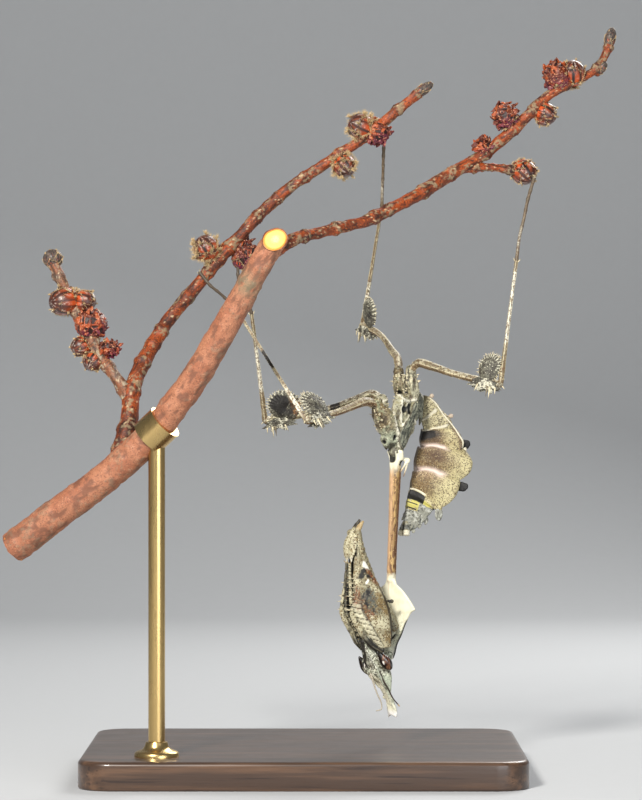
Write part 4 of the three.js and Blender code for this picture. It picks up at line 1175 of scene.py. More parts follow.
def heel_flap(knee, thigh, upright, seed):
    """The ragged pale flaps on the other side of the femur's end."""
    across = unit(np.cross(thigh, upright))
    across = -across if across[1] > 0 else across
    flaps = []
    for off, (b, z), (wide, tall) in ((0.95, (-2.3, -0.45), (2.7, 1.1)), (-0.55, (-2.5, -0.6), (2.2, 0.9))):
        angle = np.linspace(0, 2 * math.pi, 121)[:-1]
        jag = np.abs(((angle * 4 / math.pi + 0.3) % 1) - 0.5) * 2
        lower = smooth(0.1, -0.3, np.sin(angle))
        reach = (0.84 + (0.14 + 0.5 * lower) * jag**1.5
                 + 0.05 * noise(np.stack([np.cos(angle) * 9, np.sin(angle) * 9, 0 * angle], 1), 1, seed))
        outline = np.stack([b + wide * reach * np.cos(angle), z + tall * reach * np.sin(angle) - 0.12 * lower],
                           1)
        made = slab(outline, knee + off * across, thigh, upright, 0.6, rows=12, rim=0.3)
        made.points = made.points + across * (0.25 * noise(made.points, 1.0, seed) * off)[:, None]
        made.push(0.08 * rough(made.points, 0.45, seed))
        made = bumps(made, 0.36, 0.09, share=0.7, seed=seed)
        patch = rough(made.points, 0.7, seed + 2)
        low = (made.points - knee) @ upright
        flaps.append(made.set(pale=np.clip(0.75 * smooth(-0.1, 0.25, patch) + 0.6 * smooth(-0.8, -1.4, low), 0,
                                           1),
                              dark=0.5 * smooth(-0.2, -0.35, patch)))
    return joined(flaps)


def foot(shin, joints, wide, seed, dark=0):
    """A tarsus of five joints, with a pair of claws and the pads between them."""
    through = [shin, *joints]
    line = curve(through, 200)
    made = limb(through, [0.3, 0.27, 0.26, 0.27], wide=wide, sides=16, steps=int(length_of(line) / 0.12))
    t = made.values["t"]
    knuckle = sum(bell(t, s, 0.035) for s in (0, 0.42, 0.62, 0.75, 0.85, 1))
    made.push(0.07 * knuckle - 0.05 * bell(t, 0.435, 0.02) - 0.05 * bell(t, 0.635, 0.02)
              + 0.02 * rough(made.points, 0.4, seed))
    # on the mid pair the feet are painted dark and black, with less white: painted shade
    made.set(dusk=(1.0 if dark else 0.45) + 0.4 * knuckle.clip(0, 1), brown=0.35,
             white=(0.2 if dark else 0.9) * bell(t, 0.25, 0.14), black=0.75 * dark * smooth(0.15, 0.4, t))
    ahead, across, over = rails(line, wide)
    tip, way, side, top = line[-1], ahead[-1], across[-1], over[-1]
    claws = [limb([tip - 0.1 * way + 0.12 * s * side, tip + 0.35 * way + 0.34 * s * side + 0.12 * top,
                   tip + 0.62 * way + 0.4 * s * side - 0.18 * top], [0.1, 0.085, 0.02], sides=8, steps=8)
             for s in (-1, 1)]
    pad = ball(tip + 0.18 * way - 0.08 * top, (0.2, 0.14, 0.26), way, sides=12, rows=8).set(dusk=0.9)
    return joined([made, pad]), joined(claws).set(tip=0.4, dark=0.5)


def walking_leg(name, leg, order):
    pair, side = name.split("_")
    shin, femur_line = np.array(leg["shin"], float), np.array(leg["femur"], float)
    knee = femur_line[-1]
    thigh = unit(knee - femur_line[-2])
    shank = unit(shin - knee)
    upright = unit(shank - (shank @ thigh) * thigh)
    hinge = unit(np.cross(thigh, shank))
    seed = 1000 + 50 * order
    half = [0.6, 0.72, 0.6, 0.55, 0.6, 0.72]
    femur = shaft(femur_line, half, seed, wide=(0, 0, 1))
    t, turn = femur.values["t"], 2 * math.pi * femur.values["turn"]
    below = smooth(0.25, -0.25, np.cos(turn))
    # the black band on the mid left femur is a painted shadow of the near knee disc
    femur.set(brown=leg["brown"] * lerp(0.25, 1, below),
              white=(0.5 if name != "mid_left" else 1.0) * smooth(0.2, 0.7, np.cos(turn))
              * (1 - 0.5 * leg["brown"]),
              black=bell(t, 0.43, 0.05) * (name == "mid_left"))
    trochanter = ball(femur_line[0] + 0.1 * UP, (0.82, 0.78, 0.95), unit(femur_line[1] - femur_line[0]))
    trochanter.push(0.06 * rough(trochanter.points, 0.5, seed)).set(keel=0.3, brown=0.5, white=0.3)
    knuckle = ball(knee + 0.1 * thigh, (0.78, 0.7, 0.82), hinge).set(white=0.4)
    knuckle.push(0.06 * rough(knuckle.points, 0.5, seed + 1))
    bone = [knee + 0.45 * thigh + 0.1 * shank, shin]
    tibia_half = [0.46, 0.36, 0.3, 0.27, 0.29]
    tibia = shaft(bone, tibia_half, seed + 9, wide=hinge, ridge=0.16)
    t = tibia.values["t"]
    low, high = leg["white"]
    tibia.set(white=smooth(low - 0.05, low + 0.05, t) * smooth(high + 0.05, high - 0.05, t), brown=0.25)
    # a black band on the tibia: a painted shadow cast by another leg
    if leg["black"]:
        low, high = leg["black"]
        tibia.set(black=smooth(low - 0.03, low, t) * smooth(high + 0.03, high, t) * 0.8)
    tarsus, claws = foot(shin, leg["foot"], hinge, seed + 4, pair == "mid")
    piece(f"{name}_leg", joined([femur, trochanter, knuckle, tibia, tarsus]), LEG,
          [f"{pair}_{part}_{side}" for part in ("femur", "tibia", "tarsus")])
    disc, comb = knee_disc(knee, thigh, upright, *leg["lobe"], seed + 6)
    heel = heel_flap(knee, thigh, upright, seed + 8)
    if name == "mid_left":
        # the far knee disc gets a dark patch of painted shade
        high, ahead = disc.values["high"], disc.values["ahead"]
        disc_shade = smooth(1.15, 0.7, np.hypot((ahead - 0.2) / 0.62, (high - 0.25) / 0.6)
                      + 0.3 * rough(disc.points, 0.9, 3))
        disc.set(dark=np.clip(disc.values["dark"] + disc_shade, 0, 1),
                 warm=smooth(-0.35, -0.6, ahead) * smooth(0.7, 0.2, high))
    piece(f"{name}_knee_lobes", joined([disc, heel]), LOBE_SKIN)
    front = hinge * (-1 if hinge[1] > 0 else 1)
    stub = knee - 0.9 * thigh - 0.9 * upright + 0.7 * front
    stub = stub + 0.5 * front
    spikes = [spine(stub, stub - 2.3 * upright + 0.35 * thigh, 0.2),
              spine(stub - 0.55 * thigh, stub - 2.0 * upright - 0.2 * thigh, 0.2).set(dark=1),
              spine(stub - 2.4 * thigh, stub - 1.5 * upright - 2.7 * thigh, 0.17),
              spine(stub + 1.0 * thigh, stub - 1.2 * upright + 1.3 * thigh, 0.17),
              spine(knee + 0.7 * thigh, knee + 1.5 * thigh - 0.55 * upright, 0.16),
              spine(shin - 0.3 * shank + 0.3 * thigh, shin + 0.35 * shank + 0.85 * thigh, 0.12),
              spine(shin - 0.3 * shank - 0.3 * thigh, shin + 0.4 * shank - 0.7 * thigh, 0.12)]
    for s in spikes:
        s.set(tip=s.values["t"])
    fine = [rows_of_thorns(femur_line, half, seed + 11, wide=(0, 0, 1), span=(0.06, 0.9)),
            rows_of_thorns(bone, tibia_half, seed + 12, wide=hinge, size=0.16)]
    piece(f"{name}_spines", joined([comb, claws, *spikes, *fine]), SPINE)


for order, (name, leg) in enumerate(WALKING_LEGS.items()):
    walking_leg(name, leg, order)


# ---------------------------------------------------------------- thorax with the hips of the walking legs
THORAX = [(1.1, 57.9), (2.2, 61), (3.8, 64.4), (6.6, 67)]
# Raised pale seams of the side plates, as lists of [towards the back, height], alike on both sides.
SEAMS = [
    [(-1.2, 64.6), (-1.0, 62.6), (-0.4, 61.0), (0.2, 59.4)],
    [(0.25, 67.8), (1.2, 67.0), (2.3, 66.8), (3.5, 67.1)],
    [(0.45, 66.9), (0.35, 65.4), (0.2, 63.8), (1.0, 62.4)],
    [(1.85, 66.6), (2.0, 65.2), (2.45, 64.3), (1.55, 63.1), (0.9, 62.3), (1.5, 60.8), (0.8, 59.2)],
    [(3.2, 63.6), (4.4, 62.6), (5.2, 63.4)],
    [(-0.3, 58.9), (1.4, 58.5), (3.2, 59.3)],
]
# Dents, [place, size], painted near black as shade in deep holes; (3.0, -1.2, 68.2) is a painted shadow by a
# hip.
PITS_AND_SHADOWS = [((0.95, 2.45, 65.3), 0.68), ((2.4, 2.4, 65.9), 0.6), ((2.5, 2.35, 64.9), 0.52),
        ((-0.5, 1.7, 57.9), 0.5),
        ((-0.75, 2.0, 60.3), 0.4), ((-2.15, 0.35, 59.3), 0.42), ((-0.9, 1.9, 59.6), 0.4),
        ((3.0, -1.2, 68.2), 0.7), ((2.35, 1.08, 68.5), 0.5)]
COXA_HALVES = {"mid_right": (1.3, 1.9, 1.85, 1.5, 0.95), "mid_left": (0.9, 1.0, 1.0, 0.95, 0.75),
               "hind_right": (1.1, 1.5, 1.35, 1.15, 0.85), "hind_left": (1.0, 1.3, 1.3, 1.15, 0.8)}


def local(stance, points):
    """How far points lie towards the back and to the right of a stance's axis."""
    away = points - stance.at(0, 0, 0)
    return away @ stance.back, away @ stance.right


PLATE = painted("plate_cuticle", (168, 166, 142), 0.6, [
    ((122, 118, 96), 0.8, (1.1, 4, 2, 0.46, 0.58)),
    ((112, 94, 60), 0.95, "brown", (0.9, 3, 6, 0.28, 0.46)),
    ((58, 44, 28), 0.85, "brown", (0.7, 4, 17, 0.52, 0.6)),
    ((128, 132, 104), 0.85, "brown", (1.1, 3, 27, 0.52, 0.62)),
    ((214, 206, 168), 0.85, "brown", (0.6, 3, 37, 0.6, 0.68)),
    ((166, 172, 148), 0.85, "root"),
    ((178, 174, 146), 0.85, "plate"),
    ((140, 128, 82), 0.8, "plate", (0.7, 3, 47, 0.5, 0.6)),
    ((206, 200, 170), 0.75, ("grain", 0.35, 0.8)),
    ((52, 42, 32), 0.8, "crack"),
    ((38, 30, 22), 0.85, "streaky", (0.5, 3, 61, 0.5, 0.57, (1, 1, 0.2))),
    ((220, 212, 178), 0.8, "streaky", (0.5, 3, 66, 0.56, 0.62, (1, 1, 0.2))),
    ((228, 224, 204), 0.92, "seam"),
    ((52, 40, 30), 0.8, ("dots", 0.42, 0.75, 0.34)),
    ((70, 54, 38), 0.75, (0.33, 3, 12, 0.56, 0.66)),
    # near black: painted shade in the pits, and a painted shadow
    ((5, 4, 4), 0.99, ("pit", 0.3, 0.6)),
], relief=[((0.15, 3, 0), 0.03), ((0.5, 2, 0), 0.04)])


def thorax():
    parts = [limb(middle(THORAX), [1.35, 2.0, 2.45, 2.5, 2.2, 1.5], [1.2, 1.6, 1.8, 1.8, 1.6, 1.1],
                  BODY.right, sides=40, steps=50)]
    for sign in SIDES.values():
        for (b, s, z), size, tall in (((1.3, 1.05, 61.6), 1.4, 1.35), ((0.4, 0.6, 62.3), 1.2, 1.2),
                                      ((3.2, 1.15, 62.0), 1.2, 1.2),
                                      ((1.2, 0.95, 59.3), 1.1, 1.2), ((4.2, 1.0, 64.8), 1.3, 1.4),
                                      ((2.9, 1.0, 64.6), 1.15, 1.3)):
            parts.append(ball(BODY.at(b, sign * s, z), (size, size, size * tall), sides=20, rows=12))
    parts.append(ball(BODY.at(-1.35, 0, 59.9), (1.0, 1.0, 1.25), sides=20, rows=12))
    for back, side in ((1.25, 1.6), (4.3, -1.2)):
        parts.append(ball(BODY.at(back, side, 65.4), (2.45, 0.92, 2.75), UP, sides=36, rows=24, wide=BODY.back))
    coxae = {}
    for name, leg in WALKING_LEGS.items():
        hip, top = (np.array(leg[key], float) for key in ("hip", "coxa"))
        bulge = (hip + top) / 2
        line = [hip - 0.4 * UP, lerp(hip, bulge, 0.6), bulge + 0.1 * BODY.right, lerp(bulge, top, 0.6), top]
        coxae[name] = line
        halves = np.array(COXA_HALVES[name])
        flat = vec(1, -0.25, 0)
        parts.append(limb(line, list(halves), list(halves * 0.82), flat, sides=28, steps=40))
        for k, angle in enumerate((0.35, 1.25, 2.2, 3.05, 4.2, 5.3)):
            off = math.cos(angle) * unit(flat) - math.sin(angle) * 0.82 * vec(0.25, 1, 0)
            keel = [hip + off * halves[1] * 0.86, bulge + off * halves[2] * 0.96, top + off * halves[4] * 0.86]
            parts.append(limb(keel, [0.16, 0.24, 0.16], sides=8, steps=24))
        parts.append(limb([top - 0.6 * unit(top - hip), top + 0.1 * unit(top - hip)], [halves[4] * 1.12] * 2,
                          sides=24, steps=4))
    skin = fused(joined(parts), 0.13)
    p = skin.points
    b, s = local(BODY, p)
    z = p[:, 2]
    flank = smooth(1.2, 1.6, np.abs(s)) * smooth(68.6, 67.9, z) * smooth(57.4, 58.4, z)
    seam = np.clip(sum(nearness(np.stack([b, z], 1), one, 0.26, 40) for one in SEAMS), 0, 1) * flank
    pit = sum(nearness(p, [BODY.at(b_, sign * s_, z_)], size) for (b_, s_, z_), size in PITS_AND_SHADOWS
              for sign in SIDES.values())
    on_coxa = {name: nearness(p, line, COXA_HALVES[name][2] * 1.15) for name, line in coxae.items()}
    brown = (on_coxa["mid_right"] * 1.5 + on_coxa["hind_left"] * 1.3 + on_coxa["mid_left"] * 0.5
             + on_coxa["hind_right"] * 0.35) * smooth(57.2, 59.5, z)
    lumpy = rough(p, 1.2, 7)
    skin.push(0.14 * lumpy * smooth(0, 0.4, np.clip(sum(on_coxa.values()), 0, 1)) + 0.24 * seam
              - 0.75 * np.clip(pit, 0, 1) + 0.07 * rough(p, 0.45, 8))
    plate = np.clip(sum(nearness(p, [BODY.at(1.3, 2.2 * sign, 66.4), BODY.at(1.0, 2.2 * sign, 64.2)], 1.9)
                        for sign in (-1, 1)) * 1.6, 0, 1)
    brown = brown * (1 - 0.85 * plate)
    skin = bumps(skin, 0.5, 0.13, share=0.5, seed=9, where=1 - np.clip(pit, 0, 1))
    skin = bumps(skin, 0.34, 0.05, share=0.5, seed=19, where=1 - np.clip(pit, 0, 1))
    ditch = smooth(-0.12, -0.34, lumpy)
    skin.set(plate=plate,
             streaky=np.clip(on_coxa["hind_right"] * 1.4 + 0.7 * on_coxa["hind_left"], 0, 1)
             * smooth(66.6, 67.6, z),
             seam=np.clip(seam, 0, 1) * 0.95, pit=np.clip(pit * 1.2, 0, 1), brown=np.clip(brown, 0, 1),
             crack=np.clip(ditch, 0, 1) * 0.9,
             root=smooth(62.2, 60.6, z) * np.clip(1.6 * on_coxa["mid_right"] + on_coxa["hind_right"], 0, 1))
    piece("thorax_skin", skin, PLATE,
          ["thorax", *(f"{p}_coxa_{s}" for p in ("mid", "hind") for s in SIDES)])

    random = np.random.RandomState(77)
    roots, tips, thick = [], [], []
    for name, line in coxae.items():
        dense = curve(line, 60)
        flat = vec(1, -0.25, 0)
        for side, low, high, size in ((-1, 8, 54, 0.62), (1, 20, 56, 0.34), (-0.6, 10, 50, 0.4)):
            for k in np.arange(low, high, 4):
                half = float(along(COXA_HALVES[name], k / 60))
                out = unit(unit(flat) * side - vec(0, 1, 0) * math.sqrt(max(1 - side**2, 0)))
                root = dense[k] + out * half * 0.93 + random.normal(0, 0.1, 3)
                roots.append(root)
                tips.append(root + (out + random.normal(0, 0.3, 3) + 0.25 * UP) * size
                            * random.uniform(0.4, 1.4))
                thick.append(random.uniform(0.1, 0.2))
    for spot in ((13.9, -3.5, 63.4), (15.3, -3.0, 62.8), (13.5, -3.6, 64.4), (14.4, -3.5, 62.2)):
        root = vec(*spot)
        roots.append(root)
        tips.append(root - 0.5 * BODY.back + 0.3 * BODY.right)
        thick.append(0.3)
    piece("coxa_spines", thorns(roots, tips, np.array(thick)), SPINE)


# ---------------------------------------------------------------- wing pads
# grey-green wing pads: their own colour, darkened with painted shade
SHADED_WING_PAD = painted("wing_pad", (88, 90, 78), 0.6, [
    ((138, 140, 120), 0.75, (0.8, 4, 1, 0.46, 0.6)),
    ((184, 182, 158), 0.5, "vein"),
    ((42, 46, 40), 0.85, (0.5, 4, 23, 0.5, 0.58)),
    ((190, 188, 166), 0.6, ("grain", 0.3, 0.8)),
    ((50, 48, 40), 0.85, ("dots", 0.36, 0.75, 0.34)),
    ((96, 84, 66), 0.5, ("edge", 0.9, 0.99)),
], relief=[((0.14, 3, 0), 0.02)])


FORE_PAD = [(0.7, 57.9), (0.0, 58.6), (-0.4, 59.7), (-0.45, 60.9), (0.2, 61.9), (1.1, 62.8), (1.95, 63.8),
            (2.65, 64.9),
            (3.2, 66.1), (3.85, 67.4), (4.5, 68.3), (5.0, 68.4), (5.15, 67.4), (4.9, 66.2), (4.1, 64.6),
            (3.1, 62.9), (2.2, 60.9), (1.4, 58.9), (0.7, 57.9)]
HIND_PAD = [(4.2, 63.3), (3.8, 64.2), (3.7, 65.6), (4.2, 67.0), (5.0, 67.9), (5.75, 67.4), (6.05, 65.8),
            (6.0, 64.2), (5.8, 62.8), (5.5, 62.4), (5.3, 63.5), (4.95, 63.9), (4.6, 63.2), (4.2, 63.3)]


def wing_pads():
    for side, sign in SIDES.items():
        for pair, corners, aside, tilt in (("fore", FORE_PAD, 2.62, 0.0), ("hind", HIND_PAD, 2.3, 0.25)):
            outline = curve(corners, 161)[:-1]
            low, high = outline[:, 1].min(), outline[:, 1].max()
            aside -= 0.45 * (sign < 0)
            origin = BODY.at(0, sign * aside, 0)
            pad = slab(outline, origin, BODY.back, UP, 0.5, rows=20, rim=0.4)
            v = (pad.points[:, 2] - low) / (high - low)
            centre = along([np.mean(outline[np.abs(outline[:, 1] - q) < 1.0, 0])
                            for q in np.linspace(low + 0.2, high - 0.2, 8)], v)
            u = (local(BODY, pad.points)[0] - centre) / 2.0
            vein = (sum(bell(u, f, 0.05) for f in (-0.62, -0.3, 0.02, 0.34, 0.66))
                    * smooth(1, 0.93, pad.values["edge"]))
            vein = vein * smooth(-0.4, 0.2, noise(pad.points, 0.9, 13))
            pad.push(0.06 * vein + 0.10 * rough(pad.points, 0.7, 3))
            bend = -0.30 * u**2 - 0.35 * smooth(0.35, 0.0, v) + tilt * (v - 0.5)
            pad.points = pad.points + bend[:, None] * sign * BODY.right
            pad = bumps(pad, 0.36, 0.06, share=0.55, seed=5).set(vein=np.clip(vein, 0, 1))
            piece(f"wing_pad_{pair}_{side}_skin", pad, SHADED_WING_PAD, [f"wing_pad_{pair}_{side}"])


# ---------------------------------------------------------------- abdomen
# The edges between segments: how far back and how high the keel is, the section's lean in degrees, its half
# width, its thickness below the keel, and how far its sides sweep to the rear.
EDGES = np.array([
    [0, 65.6, 75, 1.6, 2.3, 0.2], [0.25, 63.4, 37, 2.8, 3.5, 0.4], [0.5, 61.4, 17, 4.3, 4.6, 0.8],
    [-0.3, 58.6, 4, 5.8, 6.3, 1.2], [-1.45, 54.4, -8, 6.2, 7.0, 1.5], [-2.3, 51.1, -18, 4.7, 5.4, 2.6],
    [-2.8, 49.2, -22, 3.7, 4.0, 0.9], [-3.3, 47.4, -26, 3.2, 3.5, 0.4], [-3.9, 43.9, -30, 1.0, 1.3, 0.2],
])
LOBES = [0.2, 0.3, 0.5, 1.7, 0.6, 0.2, 0.1, 0.2]
VENTRAL_LOBES = [0, 1.3, 2.4, 2.4, 2.4, 2.0, 0, 0]
SECTION = [(0, 0), (0.34, 0.19), (0.68, 0.42), (0.91, 0.66), (1, 0.82), (0.82, 0.94), (0.4, 1), (0, 1.02)]


def section_at(i, t):
    """The frame of segment i's section at share t of its length."""
    back, height, lean, half, thick, sweep = (float(along(EDGES[:, k], (i + t) / 8)) for k in range(6))
    lean = math.radians(lean)
    belly = TAIL.back * math.cos(lean) + UP * math.sin(lean)
    rear = TAIL.back * math.sin(lean) - UP * math.cos(lean)
    bulge = LOBES[i] * max(math.sin(math.pi * t), 0) ** 0.7
    return TAIL.at(back, 0, height), belly, rear, half + bulge, thick + 0.7 * bulge, sweep


ABDOMEN = painted("abdomen_cuticle", (186, 176, 132), 0.62, [
    ((150, 136, 96), 0.6, (2.0, 4, 2, 0.46, 0.62)),
    ((116, 92, 56), 0.95, "warm", (1.2, 3, 4, 0.1, 0.45)),
    ((92, 62, 44), 0.85, ("belly", 0.3, 0.8)),
    ((176, 168, 134), 0.85, ("cream", 0.2, 0.8)),
    ((122, 116, 92), 0.7, "cream", (0.8, 4, 14, 0.5, 0.6)),
    ((168, 142, 112), 0.8, "lilac"),
    ((60, 44, 28), 0.85, ("dots", 0.27, 0.95, 0.44, 0.16)),
    ((208, 196, 154), 0.7, ("dots", 0.25, 0.6, 0.36)),
    ((70, 52, 34), 0.75, (0.3, 4, 12, 0.54, 0.64)),
    ((66, 42, 28), 0.85, "shade", (0.5, 4, 19, 0.25, 0.55)),
    # a dark band, and painted shade on the ventral lobes and the leaves behind the side lobes
    ((20, 14, 10), 0.98, "dark", (0.6, 3, 9, 0.1, 0.3)),
    ((14, 9, 6), 1, ("dark", 0.5, 1.0), (0.4, 4, 69, 0.34, 0.46)),
    ((128, 130, 122), 0.9, "grey"),
    ((178, 180, 170), 0.8, "grey", (0.6, 3, 5, 0.5, 0.62)),
    ((66, 66, 62), 0.85, "grey", (0.42, 4, 45, 0.54, 0.62)),
    ((222, 204, 194), 0.92, "pink"),
    ((212, 206, 184), 0.92, ("white", 0.3, 0.75)),
    ((190, 182, 96), 0.9, ("yellow", 0.35, 0.65)),
    # black bands, and painted shade on the ventral lobes and the leaves behind the side lobes
    ((7, 7, 8), 0.99, ("black", 0.4, 0.6)),
], relief=[((0.11, 3, 0), 0.02), (("dots", 0.27, 0.95, 0.44, 0.16), -0.012)])


def on_abdomen(place, share, side=1, out=0.0):
    """A point on the skin: segments from the front, share of the way from keel to belly on one side."""
    i = min(int(place), 7)
    keel, belly, rear, half, thick, sweep = section_at(i, place - i)
    a, b = (float(along([q[k] for q in SECTION], share)) for k in (0, 1))
    way = unit(side * a * TAIL.right * 0.9 + (b - 0.45) * belly)
    return keel + side * a * half * TAIL.right + b * thick * belly + sweep * a * a * rear + out * way


def ragged(corners, amount, seed):
    """A closed smooth outline through corners, with a slightly uneven edge."""
    outline = curve(corners, 81)[:-1]
    return outline * (1 + amount * noise(np.c_[outline, 0 * outline[:, :1]], 0.5, seed)[:, None])


def abdomen():
    half = curve(SECTION, 53)
    section = np.vstack([half, half[-2:0:-1] * (-1, 1)])
    steps = np.array([0, 0.03, 0.07, 0.12, *np.arange(0.17, 0.86, 0.055), 0.88, 0.92, 0.955, 0.98, 1.0])
    rings, part, share = [], [], []
    for i in range(8):
        for t in steps:
            keel, belly, rear, half_width, thick, sweep = section_at(i, min(t, 0.999))
            ring = (keel + section[:, :1] * half_width * TAIL.right + section[:, 1:] * thick * belly
                    + sweep * section[:, :1] ** 2 * rear + (0.07 if t == 1.0 else 0) * rear)
            rings.append(ring)
            part.append(i)
            share.append(t)
    across = section[:, 0][None].repeat(len(rings), 0)
    deep = section[:, 1][None].repeat(len(rings), 0)
    part = np.array(part)[:, None].repeat(len(section), 1)
    share = np.array(share)[:, None].repeat(len(section), 1)
    skin = loft(np.array(rings), part=part, share=share, across=across, deep=deep)
    n, t, a, d = (skin.values[k] for k in ("part", "share", "across", "deep"))
    a = np.abs(a)
    n = np.round(n).astype(int)
    p = skin.points
    pos = n + t
    at = lambda *which: np.isin(n, which) * 1.0
    back_side = smooth(0.97, 0.9, d)
    wave = 0.05 * rough(p, 1.2, 91)
    curved = pos + 0.30 * a**2 + wave
    band = lambda where, wide: bell(curved, where, wide)
    step = 0.34 * smooth(0.3, 1.0, t) ** 2 - 0.10 * smooth(0.12, 0.0, t)
    knob = bell(a, 0, 0.12) * (bell(pos, 2.97, 0.10) + bell(pos, 3.97, 0.10))
    bent = pos + wave + 0.10 * bell(a, 0.35, 0.25)
    lip = smooth(0.82, 0.6, a) * (bell(bent, 3.0, 0.085) + bell(bent, 3.99, 0.085))
    furrow = bell(a, 0.42 + 0.06 * np.sin(5 * t), 0.05) * at(1, 2, 3, 4, 5)
    crease = bell(d, 0.72, 0.022) * (a > 0.7) * smooth(1.4, 1.7, pos) * smooth(3.0, 2.8, pos)
    lobed = bell(a, 0.5, 0.2) * np.sin(2 * math.pi * 2.2 * t + 3 * a) * at(7)
    skin.push((step + 0.60 * knob + 0.30 * lip) * back_side + 0.13 * rough(p, 1.8, 21, 3) - 0.05 * furrow
              - 0.12 * crease + 0.18 * lobed)
    skin.push(0.06 * rough(skin.points, 0.45, 25))
    skin = bumps(skin, 0.33, 0.06, share=0.8, seed=27, where=np.where(n >= 5, 0.3, 1.0))
    skin.set(
        dark=np.clip(1.5 * smooth(0.85, 0.1, a + 0.12 * noise(p, 0.7, 63)) * smooth(2.0, 2.06, pos)
                     * smooth(2.9, 2.4, pos + 0.3 * a), 0, 1),
        shade=np.clip(bell(pos + wave * 3, 3.42, 0.28) * bell(a, 0.38, 0.28)
                      + 0.9 * smooth(0.8, 0.3, a) * bell(pos, 2.6, 0.4)
                      + 0.5 * bell(pos, 4.6, 0.3) * bell(a, 0.5, 0.2) + 0.8 * crease, 0, 1),
        warm=np.clip(smooth(0.95, 0.5, a) * at(2, 3) + smooth(0.85, 0.35, a) * at(4)
                     + 0.9 * smooth(0.35, 0.1, pos), 0, 1),
        cream=at(0, 1) + 0.35 * smooth(0.8, 1, a) * at(2, 3, 4),
        belly=np.where(n < 3, smooth(0.70, 0.76, d), smooth(0.88, 0.93, d)) * (n < 5),
        lilac=0.8 * bell(pos, 4.12, 0.14) * smooth(0.85, 0.45, a) + 0.5 * bell(pos, 3.1, 0.1)
        * smooth(0.8, 0.4, a),
        pink=np.clip(1.2 * lip + knob, 0, 1) * back_side,
        white=back_side * np.clip(
            (band(1.0, 0.12) + band(1.97, 0.10)) * smooth(1.02, 0.8, a)
            * smooth(-0.6, 0.1, noise(p, 0.6, 71) + 0.3)
            + bell(pos, 5.02, 0.07) * smooth(0.62, 0.5, a) + 0.8 * bell(a, 0.0, 0.07) * at(5), 0, 1),
        black=np.clip(at(5) * smooth(0.08, 0.14, t) * smooth(0.60, 0.52, a - 0.1 * t)
                      + at(6) * smooth(0.55, 0.45, a) * (bell(t, 0.36, 0.075) + bell(t, 0.86, 0.06)), 0, 1),
        yellow=smooth(-0.9, -0.3, noise(p, 0.6, 5)) * np.clip(
            at(5) * smooth(0.42, 0.5, t) * smooth(0.5, 0.6, a) * smooth(0.95, 0.85, a)
            + at(6) * smooth(0.6, 0.5, a) * smooth(0.95, 0.85, t), 0, 1),
        grey=np.clip(at(7) + at(6) * smooth(0.5, 0.6, a), 0, 1),
    )
    piece("abdomen_skin", skin, ABDOMEN, [f"abdomen_{i + 1}" for i in range(8)])

    trim = []
    # ventral lobes, painted dark and black as painted shade
    for i, reach in enumerate(VENTRAL_LOBES):
        if not reach:
            continue
        keel, belly, rear, _, thick, _ = section_at(i, 0.6)
        corners = [(-0.9, -0.7), (0.3 * reach, -0.85), (0.8 * reach, -0.5), (reach, 0.2), (0.82 * reach, 0.75),
                   (0.4 * reach, 0.95), (-0.9, 0.8), (-0.9, -0.7)]
        leaf = slab(ragged(corners, 0.08, i), keel + belly * thick, belly, rear, 0.62, rows=9)
        leaf.push(0.06 * rough(leaf.points, 0.5, i))
        trim.append(bumps(leaf, 0.33, 0.05, seed=i).set(dark=0.9, black=0.8))
    for side in (-1, 1):
        rod = limb([on_abdomen(pos, share, side, 0.04) for pos, share in
                    ((0.12, 0.56), (0.5, 0.53), (1.1, 0.50), (1.75, 0.52), (2.3, 0.54), (2.65, 0.58),
                     (3.0, 0.70))],
                   [0.12, 0.15, 0.13, 0.13, 0.15, 0.2], sides=14, steps=110)
        rod.push(0.04 * rough(rod.points, 0.5, 5))
        trim.append(rod.set(white=0.8))
        trim.append(ball(on_abdomen(3.04, 0.71, side, 0.22), (0.36, 0.36, 0.42), sides=18,
                         rows=12).set(white=1.0))
        for pos, share, out in ((0.18, 0.70, 0.45), (1.42, 0.70, 0.5)):
            root, tip = on_abdomen(pos, share, side, -0.3), on_abdomen(pos, share, side, out)
            knob = limb([root, lerp(root, tip, 0.7), tip], [0.26, 0.3, 0.42], sides=16, steps=14)
            trim.append(knob.set(pink=0.45, warm=0.6))
        # leaves behind the side lobes, painted black as painted shade
        for pos, share, wide, tall, out in ((2.86, 0.72, 1.2, 1.15, 0.35), (4.16, 0.66, 1.2, 1.1, 0.4)):
            rear = section_at(int(pos), pos % 1)[2]
            way = unit(on_abdomen(pos, share, side, 1) - on_abdomen(pos, share, side))
            corners = [(-wide, -0.6 * tall), (0, -0.8 * tall), (0.75 * wide, -0.55 * tall), (wide, 0.1 * tall),
                       (0.6 * wide, 0.7 * tall), (-0.2 * wide, 0.75 * tall), (-wide, 0.5 * tall),
                       (-wide, -0.6 * tall)]
            leaf = slab(ragged(corners, 0.1, side + 7), on_abdomen(pos, share, side, out), way, rear,
                        0.5, rows=9)
            leaf.push(0.05 * rough(leaf.points, 0.5, 3))
            trim.append(bumps(leaf, 0.33, 0.04, seed=4).set(dark=1.0, black=1.0))
        # a pale flap below the widest lobes
        root = on_abdomen(5.28, 0.56, side, -0.1)
        flap = curve([(-0.5, -0.3), (0.1, -0.5), (0.75, -0.1), (0.8, 0.9), (0.35, 1.75), (-0.3, 1.5),
                      (-0.6, 0.5), (-0.5, -0.3)], 61)[:-1]
        leaf = slab(flap, root, unit(TAIL.back + 0.4 * side * TAIL.right), -UP, 0.34, rows=8)
        trim.append(bumps(leaf, 0.33, 0.03, seed=6).set(white=0.35, grey=1.0))
